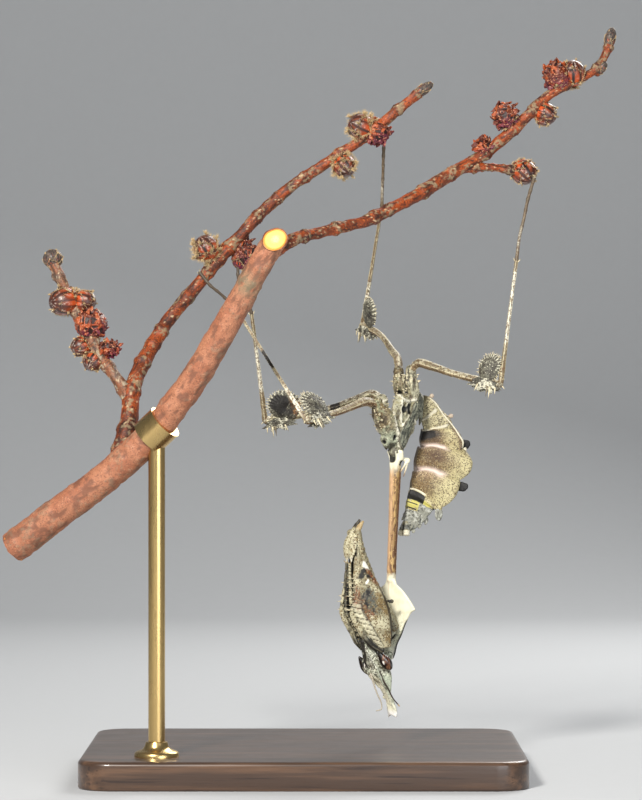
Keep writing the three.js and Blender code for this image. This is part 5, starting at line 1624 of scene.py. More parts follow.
        # folds of the tail
        for pos, share, length in ((7.15, 0.34, 1.0), (7.4, 0.5, 1.1), (7.05, 0.62, 1.3), (7.6, 0.3, 0.9),
                                   (7.75, 0.55, 0.8)):
            one = on_abdomen(pos, share, side, -0.05)
            rear = section_at(7, 0.5)[2]
            side_way = unit(on_abdomen(pos, share, side, 1) - one)
            outline = curve([(-0.3, 0), (0.3, 0.1), (0.45, 0.6 * length), (0.2, length), (-0.15, 0.8 * length),
                             (-0.35, 0.4 * length), (-0.3, 0)], 41)[:-1]
            trim.append(slab(outline, one, side_way, rear, 0.26, rows=6).set(grey=1.0, white=0.25))
    piece("abdomen_trim", joined(trim), ABDOMEN)

    for side_name, sign in SIDES.items():
        spots = [(-3.5, 0.35, 44.8), (-3.6, 0.55, 44.1), (-3.7, 0.7, 43.4), (-3.8, 0.85, 42.7)]
        cercus = limb([TAIL.at(b, sign * s, z) for b, s, z in spots], [0.34, 0.42, 0.52, 0.62, 0.6],
                      sides=24, steps=44, ends=(1, 0.5))
        t = cercus.values["t"]
        cercus.push(0.05 * np.cos(2 * math.pi * 6 * t) * smooth(0, 0.1, t) - 0.02)
        cercus.set(white=0.9 * smooth(0.62, 0.74, t), dark=0.95 * smooth(0.72, 0.5, t) * smooth(0.05, 0.3, t),
                   grey=0.5)
        piece(f"cercus_{side_name}_skin", cercus, ABDOMEN, [f"cercus_{side_name}"])


thorax()
wing_pads()
abdomen()


# ---------------------------------------------------------------- pronotum: the shield and its stalk
RIM = [(0.0, 35.2), (0.75, 34.7), (1.35, 33.9), (2.8, 32.9), (4.3, 31.4), (5.5, 29.9), (5.7, 29.5),
       (4.85, 28.9), (3.6, 27.0), (2.6, 24.9), (1.5, 23.0), (0.75, 20.9), (0.0, 20.3)]
STALK = [(0, 34.7), (0.45, 43), (0.95, 52), (1.15, 57.2)]


PRONOTUM = painted("pronotum", (146, 114, 70), 0.5, [
    ((186, 154, 98), 0.8, (0.9, 4, 2, 0.46, 0.62, (1, 1, 0.16))),
    ((92, 58, 32), 0.88, (0.4, 4, 5, 0.5, 0.57, (1, 1, 0.4))),
    ((236, 202, 140), 0.6, ("dots", 0.34, 0.4, 0.3)),
    # pale pink down the stalk's side towards -X, where the key lamp is: a painted highlight
    ((228, 186, 146), 0.85, "pinkish"),
    ((84, 44, 26), 0.9, ("edge_line", 0.25, 0.7)),
    ((226, 206, 168), 0.9, ("edge_line", 0.1, 0.5), ("grain", 0.35, 0.7)),
    ((234, 230, 204), 1, "ivory"),
    ((218, 210, 178), 0.6, "ivory", (1.6, 4, 9, 0.42, 0.66)),
    ((216, 176, 140), 0.75, "streak"),
    ((222, 224, 200), 0.8, "greyish", (0.8, 3, 3, 0.36, 0.6)),
    ((140, 146, 122), 0.75, "greyish", (0.45, 4, 43, 0.53, 0.6)),
    ((76, 78, 62), 0.9, "greyish", ("dots", 0.36, 0.6, 0.28)),
    ((250, 248, 236), 0.85, "white"),
    ((150, 146, 126), 0.6, "ivory", ("dots", 0.5, 0.16, 0.16)),
    # near black: painted shade in the pits and the fold, and a painted shadow line by the rim
    ((10, 8, 7), 0.98, ("pit", 0.2, 0.7)),
], relief=[((0.2, 3, 0), 0.02)])


def pronotum():
    half = curve(RIM, 90)
    rim = np.vstack([half, (half * (-1, 1))[-2:0:-1]]) - (0, 28.6)
    rim[:, 0] = (rim[:, 0] - 0.75 * (rim[:, 0] < 0.2) * smooth(-4.6, -6.6, rim[:, 1])
                 * smooth(-8.35, -7.4, rim[:, 1]))
    plate = slab(rim, BODY.at(-0.05, 0, 28.6), BODY.right, UP, 1.0, rows=34, rim=0.34, dome=0.8)
    _, s = local(BODY, plate.points)
    plate.points = plate.points + (0.3 * np.clip(np.abs(s) / 5.6, 0, 1) ** 2)[:, None] * BODY.back
    parts = [plate]
    parts.append(limb(middle([(0.25, 35.4), (0.1, 33.0), (0.1, 29.5), (0.0, 25), (-0.1, 21)]),
                      [0.6, 0.5, 0.4, 0.42, 0.7],
                      [0.7, 0.62, 0.52, 0.52, 0.62], BODY.right, sides=24, steps=50))
    parts.append(limb(middle(STALK), [0.8, 0.74, 0.75, 0.78, 0.9, 1.15], [0.8, 0.74, 0.76, 0.8, 0.92, 1.1],
                      BODY.right, sides=32, steps=120))
    parts.append(limb(middle([(0.05, 35.2), (0, 33.6)]), [0.8, 1.4], [0.66, 0.42], BODY.right, sides=24,
                      steps=14))
    for side in (-1, 1):
        for angle, thick in ((0.72, 0.2), (-0.5, 0.15)):
            off = 0.70 * (math.cos(angle) * BODY.right * side + math.sin(angle) * BODY.back)
            parts.append(limb([p + off * (1 + 0.28 * k / 5) for k, p in enumerate(curve(middle(STALK), 6))],
                              [thick, thick * 0.8, thick, thick * 1.3], sides=8, steps=90))
        parts.append(limb(BODY.line([(1.6, 0.35, 55.2), (1.5, 1.2, 56.4), (1.1, 1.5, 57.6)], side),
                          [0.3, 0.42, 0.4], sides=12, steps=14))
    parts.append(limb(middle([(1.0, 53.6), (1.1, 55.4), (1.15, 56.6), (1.2, 57.8)]), [0.8, 0.88, 1.05, 1.4],
                      [0.8, 0.88, 1.0, 1.2], BODY.right, sides=32, steps=26))
    for angle in (0.2, 1.3, 2.2, 3.3, 4.4, 5.4):
        off = math.cos(angle) * BODY.right + math.sin(angle) * BODY.back
        parts.append(limb([BODY.at(1.0, 0, 52.6) + 0.72 * off, BODY.at(1.1, 0, 55.0) + 0.86 * off,
                           BODY.at(1.15, 0, 57.6) + 1.35 * off],
                          [0.1, 0.2, 0.26], sides=10, steps=20))
    for side in (1, -1):
        parts.append(limb(BODY.line([(1.3, 0.8, 56.8), (2.0, 1.2, 56.4), (2.7, 1.4, 56.1)], side),
                          [0.42, 0.36, 0.4], sides=14, steps=14))
        parts.append(ball(BODY.at(2.8, 1.42 * side, 56.1), (0.55, 0.5, 0.5), sides=16, rows=10))
        parts.append(limb(BODY.line([(2.7, 1.4, 55.9), (1.9, 1.5, 55.2), (1.2, 1.3, 54.1)], side),
                          [0.3, 0.2, 0.14], sides=12, steps=14))
        parts.append(limb(BODY.line([(2.8, 1.4, 55.9), (2.3, 1.5, 54.6), (1.9, 1.3, 53.2)], side),
                          [0.28, 0.2, 0.1], sides=12, steps=14))
    skin = fused(joined(parts), 0.125)
    p = skin.points
    b, s = local(BODY, p)
    z = p[:, 2]
    stalk = smooth(35.2, 36.6, z) * smooth(55.4, 54.2, z)
    centre = along([0, 0.45, 0.95, 1.15], (z - 34.7) / 22.5)
    turn = np.arctan2(s, b - centre)
    ridge_line = bell(np.abs(turn), 1.18, 0.2) * stalk
    dark_line = bell(np.abs(turn), 1.6, 0.14) * stalk
    pit = sum(nearness(p, [BODY.at(-0.1, s_, 57.6), BODY.at(0.0, s_, 56.5)], 0.6) for s_ in (0.35, -0.35))
    pit = pit + sum(nearness(p, [BODY.at(1.6, s_, 56.8), BODY.at(1.5, s_ * 0.9, 55.4)], 0.3)
                    for s_ in (1.2, -1.2))
    rim_near = nearness(p, [BODY.at(0.45 * (a / 5.6) ** 2, a, h) for a, h in half[4:-3]], 0.45, 90)
    rim_near = rim_near + nearness(p, [BODY.at(0.45 * (a / 5.6) ** 2, -a, h) for a, h in half[4:-3]], 0.45, 90)
    fold = (bell(np.hypot((s - 0.1) / 1.5, (z - 26.2) / 2.1), 1.0, 0.15) * smooth(0.1, 0.6, s)
            * smooth(0.2, -0.2, b))
    skin.push(-0.22 * fold)
    skin.push(0.05 * rough(p * (1, 1, 0.25), 0.8, 3) * stalk + 0.035 * rough(p, 1.6, 5) * (1 - stalk)
              - 0.42 * np.clip(pit, 0, 1) + 0.05 * np.clip(rim_near, 0, 1))
    skin = bumps(skin, 0.3, 0.10, share=0.75, seed=4, where=np.clip(ridge_line * 1.1 + 0.32 * stalk, 0, 1))
    skin.set(
        ivory=np.clip(smooth(36.2, 34.9, z + 0.7 * rough(p, 0.7, 31))
                      + smooth(53.2, 56.0, z + 0.9 * rough(p * (1, 1, 0.3), 0.5, 37)), 0, 1),
        # a painted highlight down the stalk's side towards -X
        pinkish=stalk * smooth(-0.2, -0.6, (s + b - centre) * 0.7071)
        * (0.7 + 0.3 * rough(p, 0.6, 8)).clip(0, 1),
        edge_line=np.clip(ridge_line + dark_line * (0.6 + 0.4 * rough(p, 0.5, 77)), 0, 1),
        streak=(0.8 * bell(s, -0.1 + 0.15 * np.sin(z), 0.28) * smooth(30.0, 34.5, z) * smooth(36.8, 34.8, z)
                * (0.5 + 0.5 * rough(p, 0.5, 2)).clip(0, 1)
                + 0.35 * bell(s, 0.55, 0.16) * smooth(31, 35, z) * smooth(36, 35, z)),
        greyish=smooth(40, 38, z) * np.clip(smooth(30.5, 25.0, z + 0.35 * np.abs(s)) + 0.8 * fold
                                            + 0.6 * smooth(5.0, 5.5, np.abs(s)), 0, 1),
        white=nearness(p, [BODY.at(0, 1.0, 22.4), BODY.at(-0.2, 0.6, 20.6)], 0.35),
        # painted shade in the collar pits and the fold, and a painted shadow line along the lower rim on the
        # right
        pit=np.clip(np.clip(1.9 * pit, 0, 1) * 0.95
                    + 0.9 * np.clip(1.3 * rim_near - 0.35, 0, 1) * smooth(0.2, 0.8, s) * smooth(28.5, 27, z)
                    + 0.75 * fold * smooth(-0.5, 0.3, noise(p, 0.6, 8)), 0, 1),
    )
    piece("pronotum_skin", skin, PRONOTUM, ["prothorax_shield", "prothorax_stalk"])


# ---------------------------------------------------------------- forelegs
COXA = [(-1.2, 1.8, 26.4), (-2.97, 1.7, 29.3), (-4.5, 1.4, 32.1), (-6.3, 1.06, 35.2), (-7.7, 0.92, 38.1),
        (-8.8, 1.0, 40.6), (-9.4, 0.9, 43.4)]
BLADE_BACK = [-9.5, -9.2, -8.65, -8.05, -7.6, -7.05, -6.35, -5.65, -5.0]
BLADE_HALF = {"right": [0.35, 1.04, 1.75, 2.5, 3.12, 3.6, 3.1, 2.4, 1.15],
              "left": [0.35, 0.95, 1.7, 2.5, 3.0, 3.1, 2.4, 1.5, 0.4]}
BLADE_FOOT, BLADE_LENGTH = 40.6, 17.8  # its height at the coxa, and how far it reaches down from there
BLADE_THICK = [0.3, 0.45, 0.6, 0.75, 0.85, 0.85, 0.8, 0.7, 0.4]
BLADE_SIDE = {"right": [0.7, 1.05, 1.3, 1.65, 2.0, 2.0, 2.4, 2.75, 3.45],
              "left": [0.6, 0.9, 1.6, 2.3, 2.8, 3.1, 2.9, 2.4, 2.2]}
TIBIA = {"right": [(-5.4, 2.8, 22.4), (-7, 2.05, 23.5), (-8.7, 1.2, 25.7), (-10.4, 0.35, 29.2),
                   (-10.2, 0.4, 30.4)],
         "left": [(-5.4, 2.2, 22.4), (-7, 1.9, 23.7), (-8.7, 1.6, 25.9), (-10.4, 2.2, 29.3),
                  (-10.2, 2.3, 30.6)]}
TARSUS = {"right": [(-10.6, 0.3, 30.9), (-10.8, 0.3, 34.1), (-11, 0.4, 37.8)],
          "left": [(-10.4, 2.05, 31), (-10.3, 1.5, 34.1), (-10.4, 0.95, 37.9)]}
LOBES_OF = {"right": [(-9.55, 0.55, 43.2), (-10.0, 0.35, 41.9), (-10.25, 0.25, 40.6), (-10.5, 0.3, 39.4),
                      (-10.6, 0.4, 38.3)],
            "left": [(-9.6, -0.25, 43.5), (-10.0, -0.65, 42.2), (-10.2, -0.95, 40.8), (-10.25, -1.05, 39.4),
                     (-10.2, -1.1, 38.1)]}
HOOKS = {"right": [(-9.45, 0.55, 42.9), (-9.35, 0.75, 43.9), (-9.0, 1.1, 44.8), (-8.75, 1.35, 45.3)],
         "left": [(-9.5, -0.2, 43.1), (-9.3, 0.0, 44.0), (-9.0, 0.35, 44.9), (-8.8, 0.55, 45.5)]}
# Markings of the femur's blade: across (+1 at the spined edge), share of its length, half sizes of both, slant.
MARKS = {
    "white": [(-0.66, 0.165, 0.5, 0.05, 0.0), (-0.1, 0.335, 0.15, 0.016, -0.1)],
    "rust": [(-0.78, 0.29, 0.42, 0.085, 0.10), (0.62, 0.50, 0.10, 0.13, -0.16), (0.40, 0.60, 0.09, 0.11, -0.2),
             (0.82, 0.47, 0.08, 0.10, -0.16), (0.22, 0.66, 0.07, 0.05, -0.2)],
    "black": [(0.05, 0.25, 0.55, 0.034, -0.07), (-0.42, 0.29, 0.2, 0.03, 0.0), (0.2, 0.45, 0.16, 0.04, -0.1),
              (0.34, 0.55, 0.1, 0.05, -0.1), (-0.02, 0.62, 0.12, 0.03, -0.1)],
    "grey": [(0.10, 0.50, 0.36, 0.12, -0.12), (-0.05, 0.60, 0.22, 0.06, 0)],
    "olive": [(-0.62, 0.555, 0.44, 0.115, 0.05), (0.0, 0.69, 0.3, 0.03, 0.0), (-0.6, 0.9, 0.4, 0.06, 0)],
    "pale": [(-0.55, 0.42, 0.45, 0.05, 0.1), (0.75, 0.33, 0.3, 0.06, 0), (-0.2, 0.74, 0.6, 0.06, 0),
             (0.5, 0.72, 0.5, 0.1, 0)],
}


FORELEG = painted("foreleg", (138, 130, 102), 0.58, [
    ((180, 172, 140), 0.7, (0.9, 4, 2, 0.46, 0.6)),
    ((208, 202, 170), 0.65, "pale"),
    ((126, 104, 62), 0.9, "olive", (0.6, 4, 4, 0.3, 0.5)),
    ((124, 72, 36), 0.95, "rust", (0.45, 4, 7, 0.28, 0.46)),
    ((70, 46, 30), 0.85, "rust", (0.35, 4, 77, 0.5, 0.58)),
    # grey marks, and painted shade on the far, left blade
    ((72, 76, 70), 0.92, "grey", (0.5, 4, 9, 0.28, 0.5)),
    ((96, 74, 42), 0.9, ("dots", 0.46, 0.9, 0.40)),
    ((46, 38, 26), 0.9, ("dots", 0.36, 0.75, 0.35)),
    ((120, 100, 58), 0.6, (0.55, 4, 33, 0.55, 0.66)),
    ((236, 230, 200), 0.6, ("dots", 0.4, 0.3, 0.3)),
    ((120, 96, 60), 0.6, (0.3, 4, 21, 0.6, 0.7)),
    ((232, 228, 200), 0.6, "tile"),
    ((246, 243, 230), 0.95, "white"),
    # dark grooves and joints, and a painted shadow line along the femur's blade
    ((26, 20, 14), 0.92, "groove"),
    # black marks, and painted shade on the blade's face towards the body, the far blade and a joint
    ((16, 14, 13), 0.97, "black", (0.5, 4, 15, 0.25, 0.42)),
    ((176, 152, 108), 0.9, "tan"),
], relief=[((0.13, 3, 0), 0.02), ((0.5, 3, 0), 0.03)])


def blade_at(side, sign, share):
    """The middle of the blade's section at a share of its length, with its half width and thickness there."""
    b, half, thick, s = (np.array(along(a, share))
                         for a in (BLADE_BACK, BLADE_HALF[side], BLADE_THICK, BLADE_SIDE[side]))
    height = BLADE_FOOT - BLADE_LENGTH * np.asarray(share)
    return np.stack([BODY.at(*spot) for spot in zip(*map(np.atleast_1d, (b, sign * s, height)))]), half, thick


def femur_blade(side, sign):
    """The fore femur: a thin leaf with a tiled, spined edge in front."""
    rows, count = 96, 88
    v = np.concatenate([[0.0], np.linspace(0.006, 0.994, rows), [1.0]])
    flat = unit(-0.887 * BODY.back - 0.462 * sign * BODY.right)
    out = unit(np.cross(UP, flat)) * sign
    phi = 2 * math.pi * np.arange(count) / count * -sign
    u, w = np.cos(phi), np.sin(phi)
    w = np.sign(w) * np.abs(w) ** 0.8
    centre, half, thick = blade_at(side, sign, v)
    close = np.sqrt(np.clip(1 - np.clip((np.abs(v - 0.5) - 0.485) / 0.015, 0, 1) ** 2, 0.02, 1))
    half, thick = half * close, thick * close
    bow = 0.25 * np.cos(1.5 * u)[None] * half[:, None] / 3
    rings = (centre[:, None] + flat * (half[:, None] * u[None])[..., None]
             + out * (thick[:, None] * 0.95 * w[None] + bow - 0.1)[..., None])
    blade = loft(rings, u=np.repeat(u[None], len(v), 0), v=np.repeat(v[:, None], count, 1),
                 face=np.repeat(w[None], len(v), 0))
    u, v, face = (blade.values[k] for k in ("u", "v", "face"))
    p = blade.points
    inside = 0.56 - 0.30 * smooth(0.55, 0.95, v)
    margin = smooth(inside - 0.04, inside + 0.04, u) * smooth(0.5, 0.58, v)
    tiles = np.abs(np.sin(math.pi * (v * 19 + 0.9 * u)))
    groove = ((smooth(0.34, 0.10, tiles) * margin + bell(u, inside, 0.05) * smooth(0.42, 0.5, v))
              * smooth(1.0, 0.95, v))
    # a dark line along the edge away from the spines: a painted shadow of the blade on the shield
    groove = np.maximum(groove, smooth(-0.76, -0.86, u) * smooth(0.36, 0.46, v) * smooth(0.99, 0.93, v))
    ridge = (bell(u, -0.12 - 0.3 * v, 0.06) * smooth(0.1, 0.25, v) + bell(u, 0.26, 0.045)
             * smooth(0.3, 0.5, v) * 0.8)
    ridge = ridge * smooth(1.0, 0.9, v)
    blade.push(0.10 * ridge - 0.13 * groove + 0.10 * rough(p, 1.3, 11) + 0.06 * rough(p, 0.5, 12)
               + 0.08 * margin * smooth(0.1, 0.4, tiles))
    blade = bumps(blade, 0.36, 0.06, share=0.75, seed=31, where=1 - np.clip(groove, 0, 1))
    wobble = 0.34 * rough(p, 0.8, 41), 0.034 * rough(p, 0.9, 43)
    values = {}
    for name, marks in MARKS.items():
        mask = 0
        for a, b, wide, long_, slant in marks:
            x = (u + wobble[0] - a) / wide
            y = (v + wobble[1] - b + slant * (u - a)) / long_
            mask = np.maximum(mask, smooth(1.25, 0.75, np.hypot(x, y)))
        values[name] = mask
    values["groove"] = np.clip(0.9 * groove, 0, 1)
    values["tile"] = margin * smooth(0.2, 0.5, tiles) * 0.7
    inner = smooth(0.1, -0.3, face)
    edge = smooth(0.84, 0.95, u) * smooth(0.08, 0.16, v) * 0.55
    # the far, left blade is painted grey and largely black: painted shade
    if side == "left":
        edge = (smooth(0.2, 0.5, u) * smooth(0.05, 0.12, v) * smooth(0.72, 0.6, v) * 1.3
                + 0.5 * smooth(0.6, 0.7, v))
        values["grey"] = np.maximum(values["grey"], 0.9 * smooth(-0.2, 0.2, u))
    # the face towards the body is painted black as the shade between blade and body
    values["black"] = np.clip(values["black"] + 0.8 * inner * smooth(0.9, 0.7, v)
                              + edge * smooth(-0.5, 0.2, noise(p, 0.9, 61)), 0, 1)
    blade.set(**values)

    random = np.random.RandomState(5 if sign > 0 else 6)
    roots, tips, thick_ = [], [], []
    for k, share in enumerate(np.linspace(0.30, 0.93, 15)):
        (here,), h, th = blade_at(side, sign, share)
        for lane in (-1, 1):
            size = (1.5 if k % 3 == 1 else 0.9) * (0.75 if lane > 0 else 1.0) * random.uniform(0.85, 1.1)
            root = here + flat * h * 0.93 + out * lane * 0.22 * th
            roots.append(root)
            away = flat * 0.95 + out * lane * 0.35 if sign > 0 or lane < 0 else flat * 0.35 + out
            tips.append(root + size * (away + UP * 0.15))
            thick_.append(0.14 * size ** 0.5)
    if side == "left":
        for share, size in ((0.46, 0.9), (0.52, 1.5), (0.565, 0.8), (0.61, 1.6), (0.665, 0.9), (0.72, 1.5),
                            (0.77, 0.8), (0.82, 1.2)):
            (here,), h, th = blade_at(side, sign, share)
            root = here + flat * h * 0.75 - 0.3 * th * (BODY.back + BODY.right)
            roots.append(root)
            tips.append(root - size * unit(BODY.back + BODY.right + random.uniform(-0.35, 0.25) * UP))
            thick_.append(0.13)
    return blade, (roots, tips, thick_)


def forelegs():
    all_spines = [[], [], []]
    for side, sign in SIDES.items():
        coxa = limb(BODY.line(COXA, sign), [1.0, 0.95, 0.85, 0.75, 0.6], [0.8, 0.75, 0.65, 0.55],
                    BODY.back, sides=40, steps=110, ridges=3, ridge=0.22)
        t = coxa.values["t"]
        coxa.push(0.08 * rough(coxa.points, 1.1, 3)
                  + 0.05 * np.cos(2 * math.pi * 18 * t) * smooth(0.02, 0.1, t) * smooth(1, 0.9, t))
        coxa = bumps(coxa, 0.34, 0.06, share=0.8, seed=8).set(pale=0.8 * bell(t, 0.3, 0.3),
                                                              grey=0.5 * smooth(0.2, 0, t))
        blade, spines = femur_blade(side, sign)
        piece(f"fore_femur_{side}_skin", blade, FORELEG, [f"fore_femur_{side}"])
        for a, b in zip(all_spines, spines):
            a.extend(b)
        piece(f"fore_coxa_{side}_skin", coxa, FORELEG, [f"fore_coxa_{side}"])
        hook = limb([BODY.at(*spot) for spot in HOOKS[side]], [0.5, 0.66, 0.6, 0.3], [0.45, 0.5, 0.42, 0.26],
                    BODY.right, sides=28, steps=36)
        t = hook.values["t"]
        hook.push(0.06 * rough(hook.points, 0.5, 4)
                  - 0.08 * bell(hook.values["turn"], 0.62, 0.08) * smooth(0.2, 0.5, t))
        hook.set(tan=0.85 * smooth(0.3, 0.6, t) * (sign > 0), pale=0.6 * smooth(0.6, 0.2, t),
                     black=np.clip((0.95 * smooth(0.35, 0.6, t) if sign < 0 else 0.8 * smooth(0.93, 1, t))
                                   + 0.5 * bell(hook.values["turn"], 0.62, 0.06), 0, 1))
        lobe = limb([BODY.at(*spot) for spot in LOBES_OF[side]], [0.5, 0.86, 0.98, 0.7, 0.14],
                    [0.4, 0.5, 0.45, 0.34, 0.1], BODY.right, sides=36, steps=60)
        lobe.push(0.07 * rough(lobe.points, 0.7, 6) + 0.05 * bell(np.abs(lobe.values["turn"] - 0.75), 0, 0.03))
        lobe = bumps(lobe, 0.34, 0.05, share=0.6,
                     seed=12).set(pale=0.9, white=0.45 * smooth(0.75, 1, lobe.values["t"]))
        joint = limb([BODY.at(-9.3, 0.8 * sign, 42.6), BODY.at(-9.55, 0.75 * sign, 40.2),
                      BODY.at(-9.2, 0.75 * sign, 38.6)],
                     [0.7, 0.55, 0.5], [0.6, 0.55, 0.5], sides=24, steps=30)
        joint.push(0.07 * rough(joint.points, 0.7, 16))
        # its side towards -X is painted black: painted shade in the gap between the lobes and the femur
        joint = bumps(joint, 0.34, 0.05, share=0.6, seed=13).set(
            pale=0.5,
            black=0.95 * smooth(-8.6, -8.9, sum(local(BODY, joint.points)))
            * smooth(0.15, 0.35, joint.values["t"]))
        piece(f"fore_hook_{side}_skin", joined([hook, lobe, joint]), FORELEG)

        tibia = limb(BODY.line(TIBIA[side], sign), [0.55, 0.62, 0.6, 0.5, 0.3] if sign > 0
                     else [0.3, 0.42, 0.5, 0.48, 0.3], sides=28, steps=90, ridges=4, ridge=0.14)
        t = tibia.values["t"]
        tibia.push(0.05 * rough(tibia.points, 0.6, 6))
        bands = smooth(0.1, 0.3, noise(tibia.points, 0.9, 51))
        stripes = smooth(0.1, -0.35,
                         np.cos(2 * math.pi * 6 * tibia.values["turn"] + 0.8 * noise(tibia.points, 1.5, 52)))
        tibia = bumps(tibia, 0.3, 0.05, share=0.6, seed=14)
        tibia.set(black=np.clip(smooth(0.38, 0.30, t) * (0.95 if sign > 0 else 0.5) * (0.25 + 0.75 * stripes)
                                    + 0.6 * bands, 0, 1),
                      grey=0.9 * smooth(0.45, 0.35, t), pale=0.8 * smooth(0.35, 0.5, t),
                      groove=0.4 * smooth(0.85, 1, t), tile=0.8 * smooth(0.45, 0.35, t) * (1 - stripes)
                      * smooth(-0.6, 0.2, noise(tibia.points, 0.8, 53)))
        line = curve(BODY.line(TIBIA[side], sign), 40)
        ahead = unit(np.gradient(line, axis=0))
        for k in range(6, 34, 2):
            root = line[k]
            way = unit(0.8 * BODY.back + 0.45 * UP - 0.3 * ahead[k] + 0.25 * sign * BODY.right
                       * (-1) ** (k // 2))
            all_spines[0].append(root + way * 0.35)
            all_spines[1].append(root + way * 1.25)
            all_spines[2].append(0.13)
        claw = spine(line[-2], line[-1] + 1.3 * unit(0.9 * BODY.back + 0.1 * UP), 0.26, bend=0.35 * UP,
                     sides=12, steps=14)
        whole = joined([tibia, claw.set(tan=0.6, groove=0.3)])
        piece(f"fore_tibia_{side}_skin", whole, FORELEG, [f"fore_tibia_{side}"])

        tarsus = limb(BODY.line(TARSUS[side], sign), [0.3, 0.34, 0.28, 0.3, 0.24, 0.26], sides=18, steps=80)
        t = tarsus.values["t"]
        joints = np.abs(np.sin(math.pi * (t * 4.5 + 0.3)))
        tarsus.push(-0.10 * smooth(0.3, 0.0, joints) + 0.04 * rough(tarsus.points, 0.5, 9))
        tarsus.set(groove=0.8 * smooth(0.3, 0.1, joints), pale=0.8,
                   black=0.75 * (local(BODY, tarsus.points)[0] > -10.45 - 0.35 * t))
        claws = [spine(BODY.at(b, sign * s, z), BODY.at(b - 0.3, sign * s + 0.5 * k, z + 0.7), 0.13,
                       bend=0.12 * BODY.right * k,
                       sides=8, steps=8) for b, s, z in TARSUS[side][-1:] for k in (-1, 1)]
        foot_ = joined([tarsus, *[c.set(tan=0.5, groove=0.4) for c in claws]])
        piece(f"fore_tarsus_{side}_skin", foot_, FORELEG, [f"fore_tarsus_{side}"])
    root = BODY.at(-7.0, 2.1, 31.2) + 3.0 * unit(0.887 * BODY.back + 0.462 * BODY.right)
    spur = limb([root, root + (0.32, 0.06, -0.1), root + (0.62, 0.1, -0.08)], [0.2, 0.27, 0.36],
                sides=14, steps=12)
    piece("foreleg_spur", spur.set(black=1.0), FORELEG)
    piece("foreleg_spines", thorns(all_spines[0], all_spines[1], np.array(all_spines[2]), bend=0.08, sides=6),
          SPINE)


# ---------------------------------------------------------------- head
CROWN = [(-3.4, 18.6), (-2.3, 16.6), (-1.3, 14.7), (-0.25, 12.7), (0.3, 10.9)]
FACE = [(-7.2, 23.8), (-5.4, 21.5), (-4.1, 19.6), (-3.4, 18.6)]
FRONT = unit(-0.78 * BODY.back - 0.62 * UP)       # where the face looks
FACE_DOWN = unit(0.62 * BODY.back - 0.78 * UP)    # from the mouth to the vertex


HEAD = painted("head_cuticle", (186, 190, 168), 0.5, [
    ((236, 238, 218), 0.85, (0.6, 4, 2, 0.45, 0.55)),
    ((36, 34, 28), 0.85, (0.42, 4, 41, 0.54, 0.59), "speck"),
    ((244, 240, 212), 0.92, "cream"),
    ((208, 218, 194), 0.85, "green"),
    ((124, 106, 72), 0.85, "brown", (0.5, 3, 5, 0.26, 0.5)),
    ((34, 32, 28), 0.94, "stripe"),
    ((238, 236, 222), 0.85, "ridge"),
    ((66, 62, 46), 0.85, "speck", ("dots", 0.4, 0.8, 0.36)),
    ((40, 36, 28), 0.9, "speck", ("dots", 0.3, 0.5, 0.32)),
    ((78, 72, 54), 0.75, "speck", (0.3, 3, 11, 0.53, 0.62)),
    ((30, 27, 20), 0.9, ("dots", 0.46, 0.34, 0.26)),
    ((250, 249, 243), 0.98, "white"),
    ((26, 20, 17), 0.94, "black"),
], relief=[((0.12, 3, 0), 0.015)])


EYE = painted("eye", (80, 48, 34), 0.26, [
    ((132, 92, 66), 0.8, (0.36, 4, 3, 0.5, 0.58, (1, 1, 0.45))),
    ((38, 22, 18), 0.9, (0.3, 4, 8, 0.47, 0.55, (1, 1, 0.5))),
    ((172, 128, 96), 0.7, ("glow", 0.4, 0.9), (0.3, 3, 18, 0.45, 0.55)),
    ((12, 9, 9), 0.97, ("dark", 0.25, 0.75)),
    # a pale painted highlight on each eye
    ((244, 238, 228), 0.92, ("streak", 0.3, 0.7)),
], relief=[((0.1, 2, 0), 0.004)], Coat_Weight=0.8, Coat_Roughness=0.16)


# Where a pale painted highlight lies on each eye: a line, and how far it spreads.
EYE_HIGHLIGHTS = {"right": ([BODY.at(-5.1, 2.95, 20.3), BODY.at(-4.85, 3.05, 19.2)], 0.21),
               "left": ([BODY.at(-4.8, -1.7, 19.6), BODY.at(-4.75, -1.65, 18.9)], 0.4)}
ANTENNA = painted("antenna", (150, 140, 122), 0.5, [
    ((50, 38, 32), 0.95, "dark"),
    ((196, 164, 112), 0.95, "tip"),
    ((196, 188, 170), 0.8, "pale"),
])


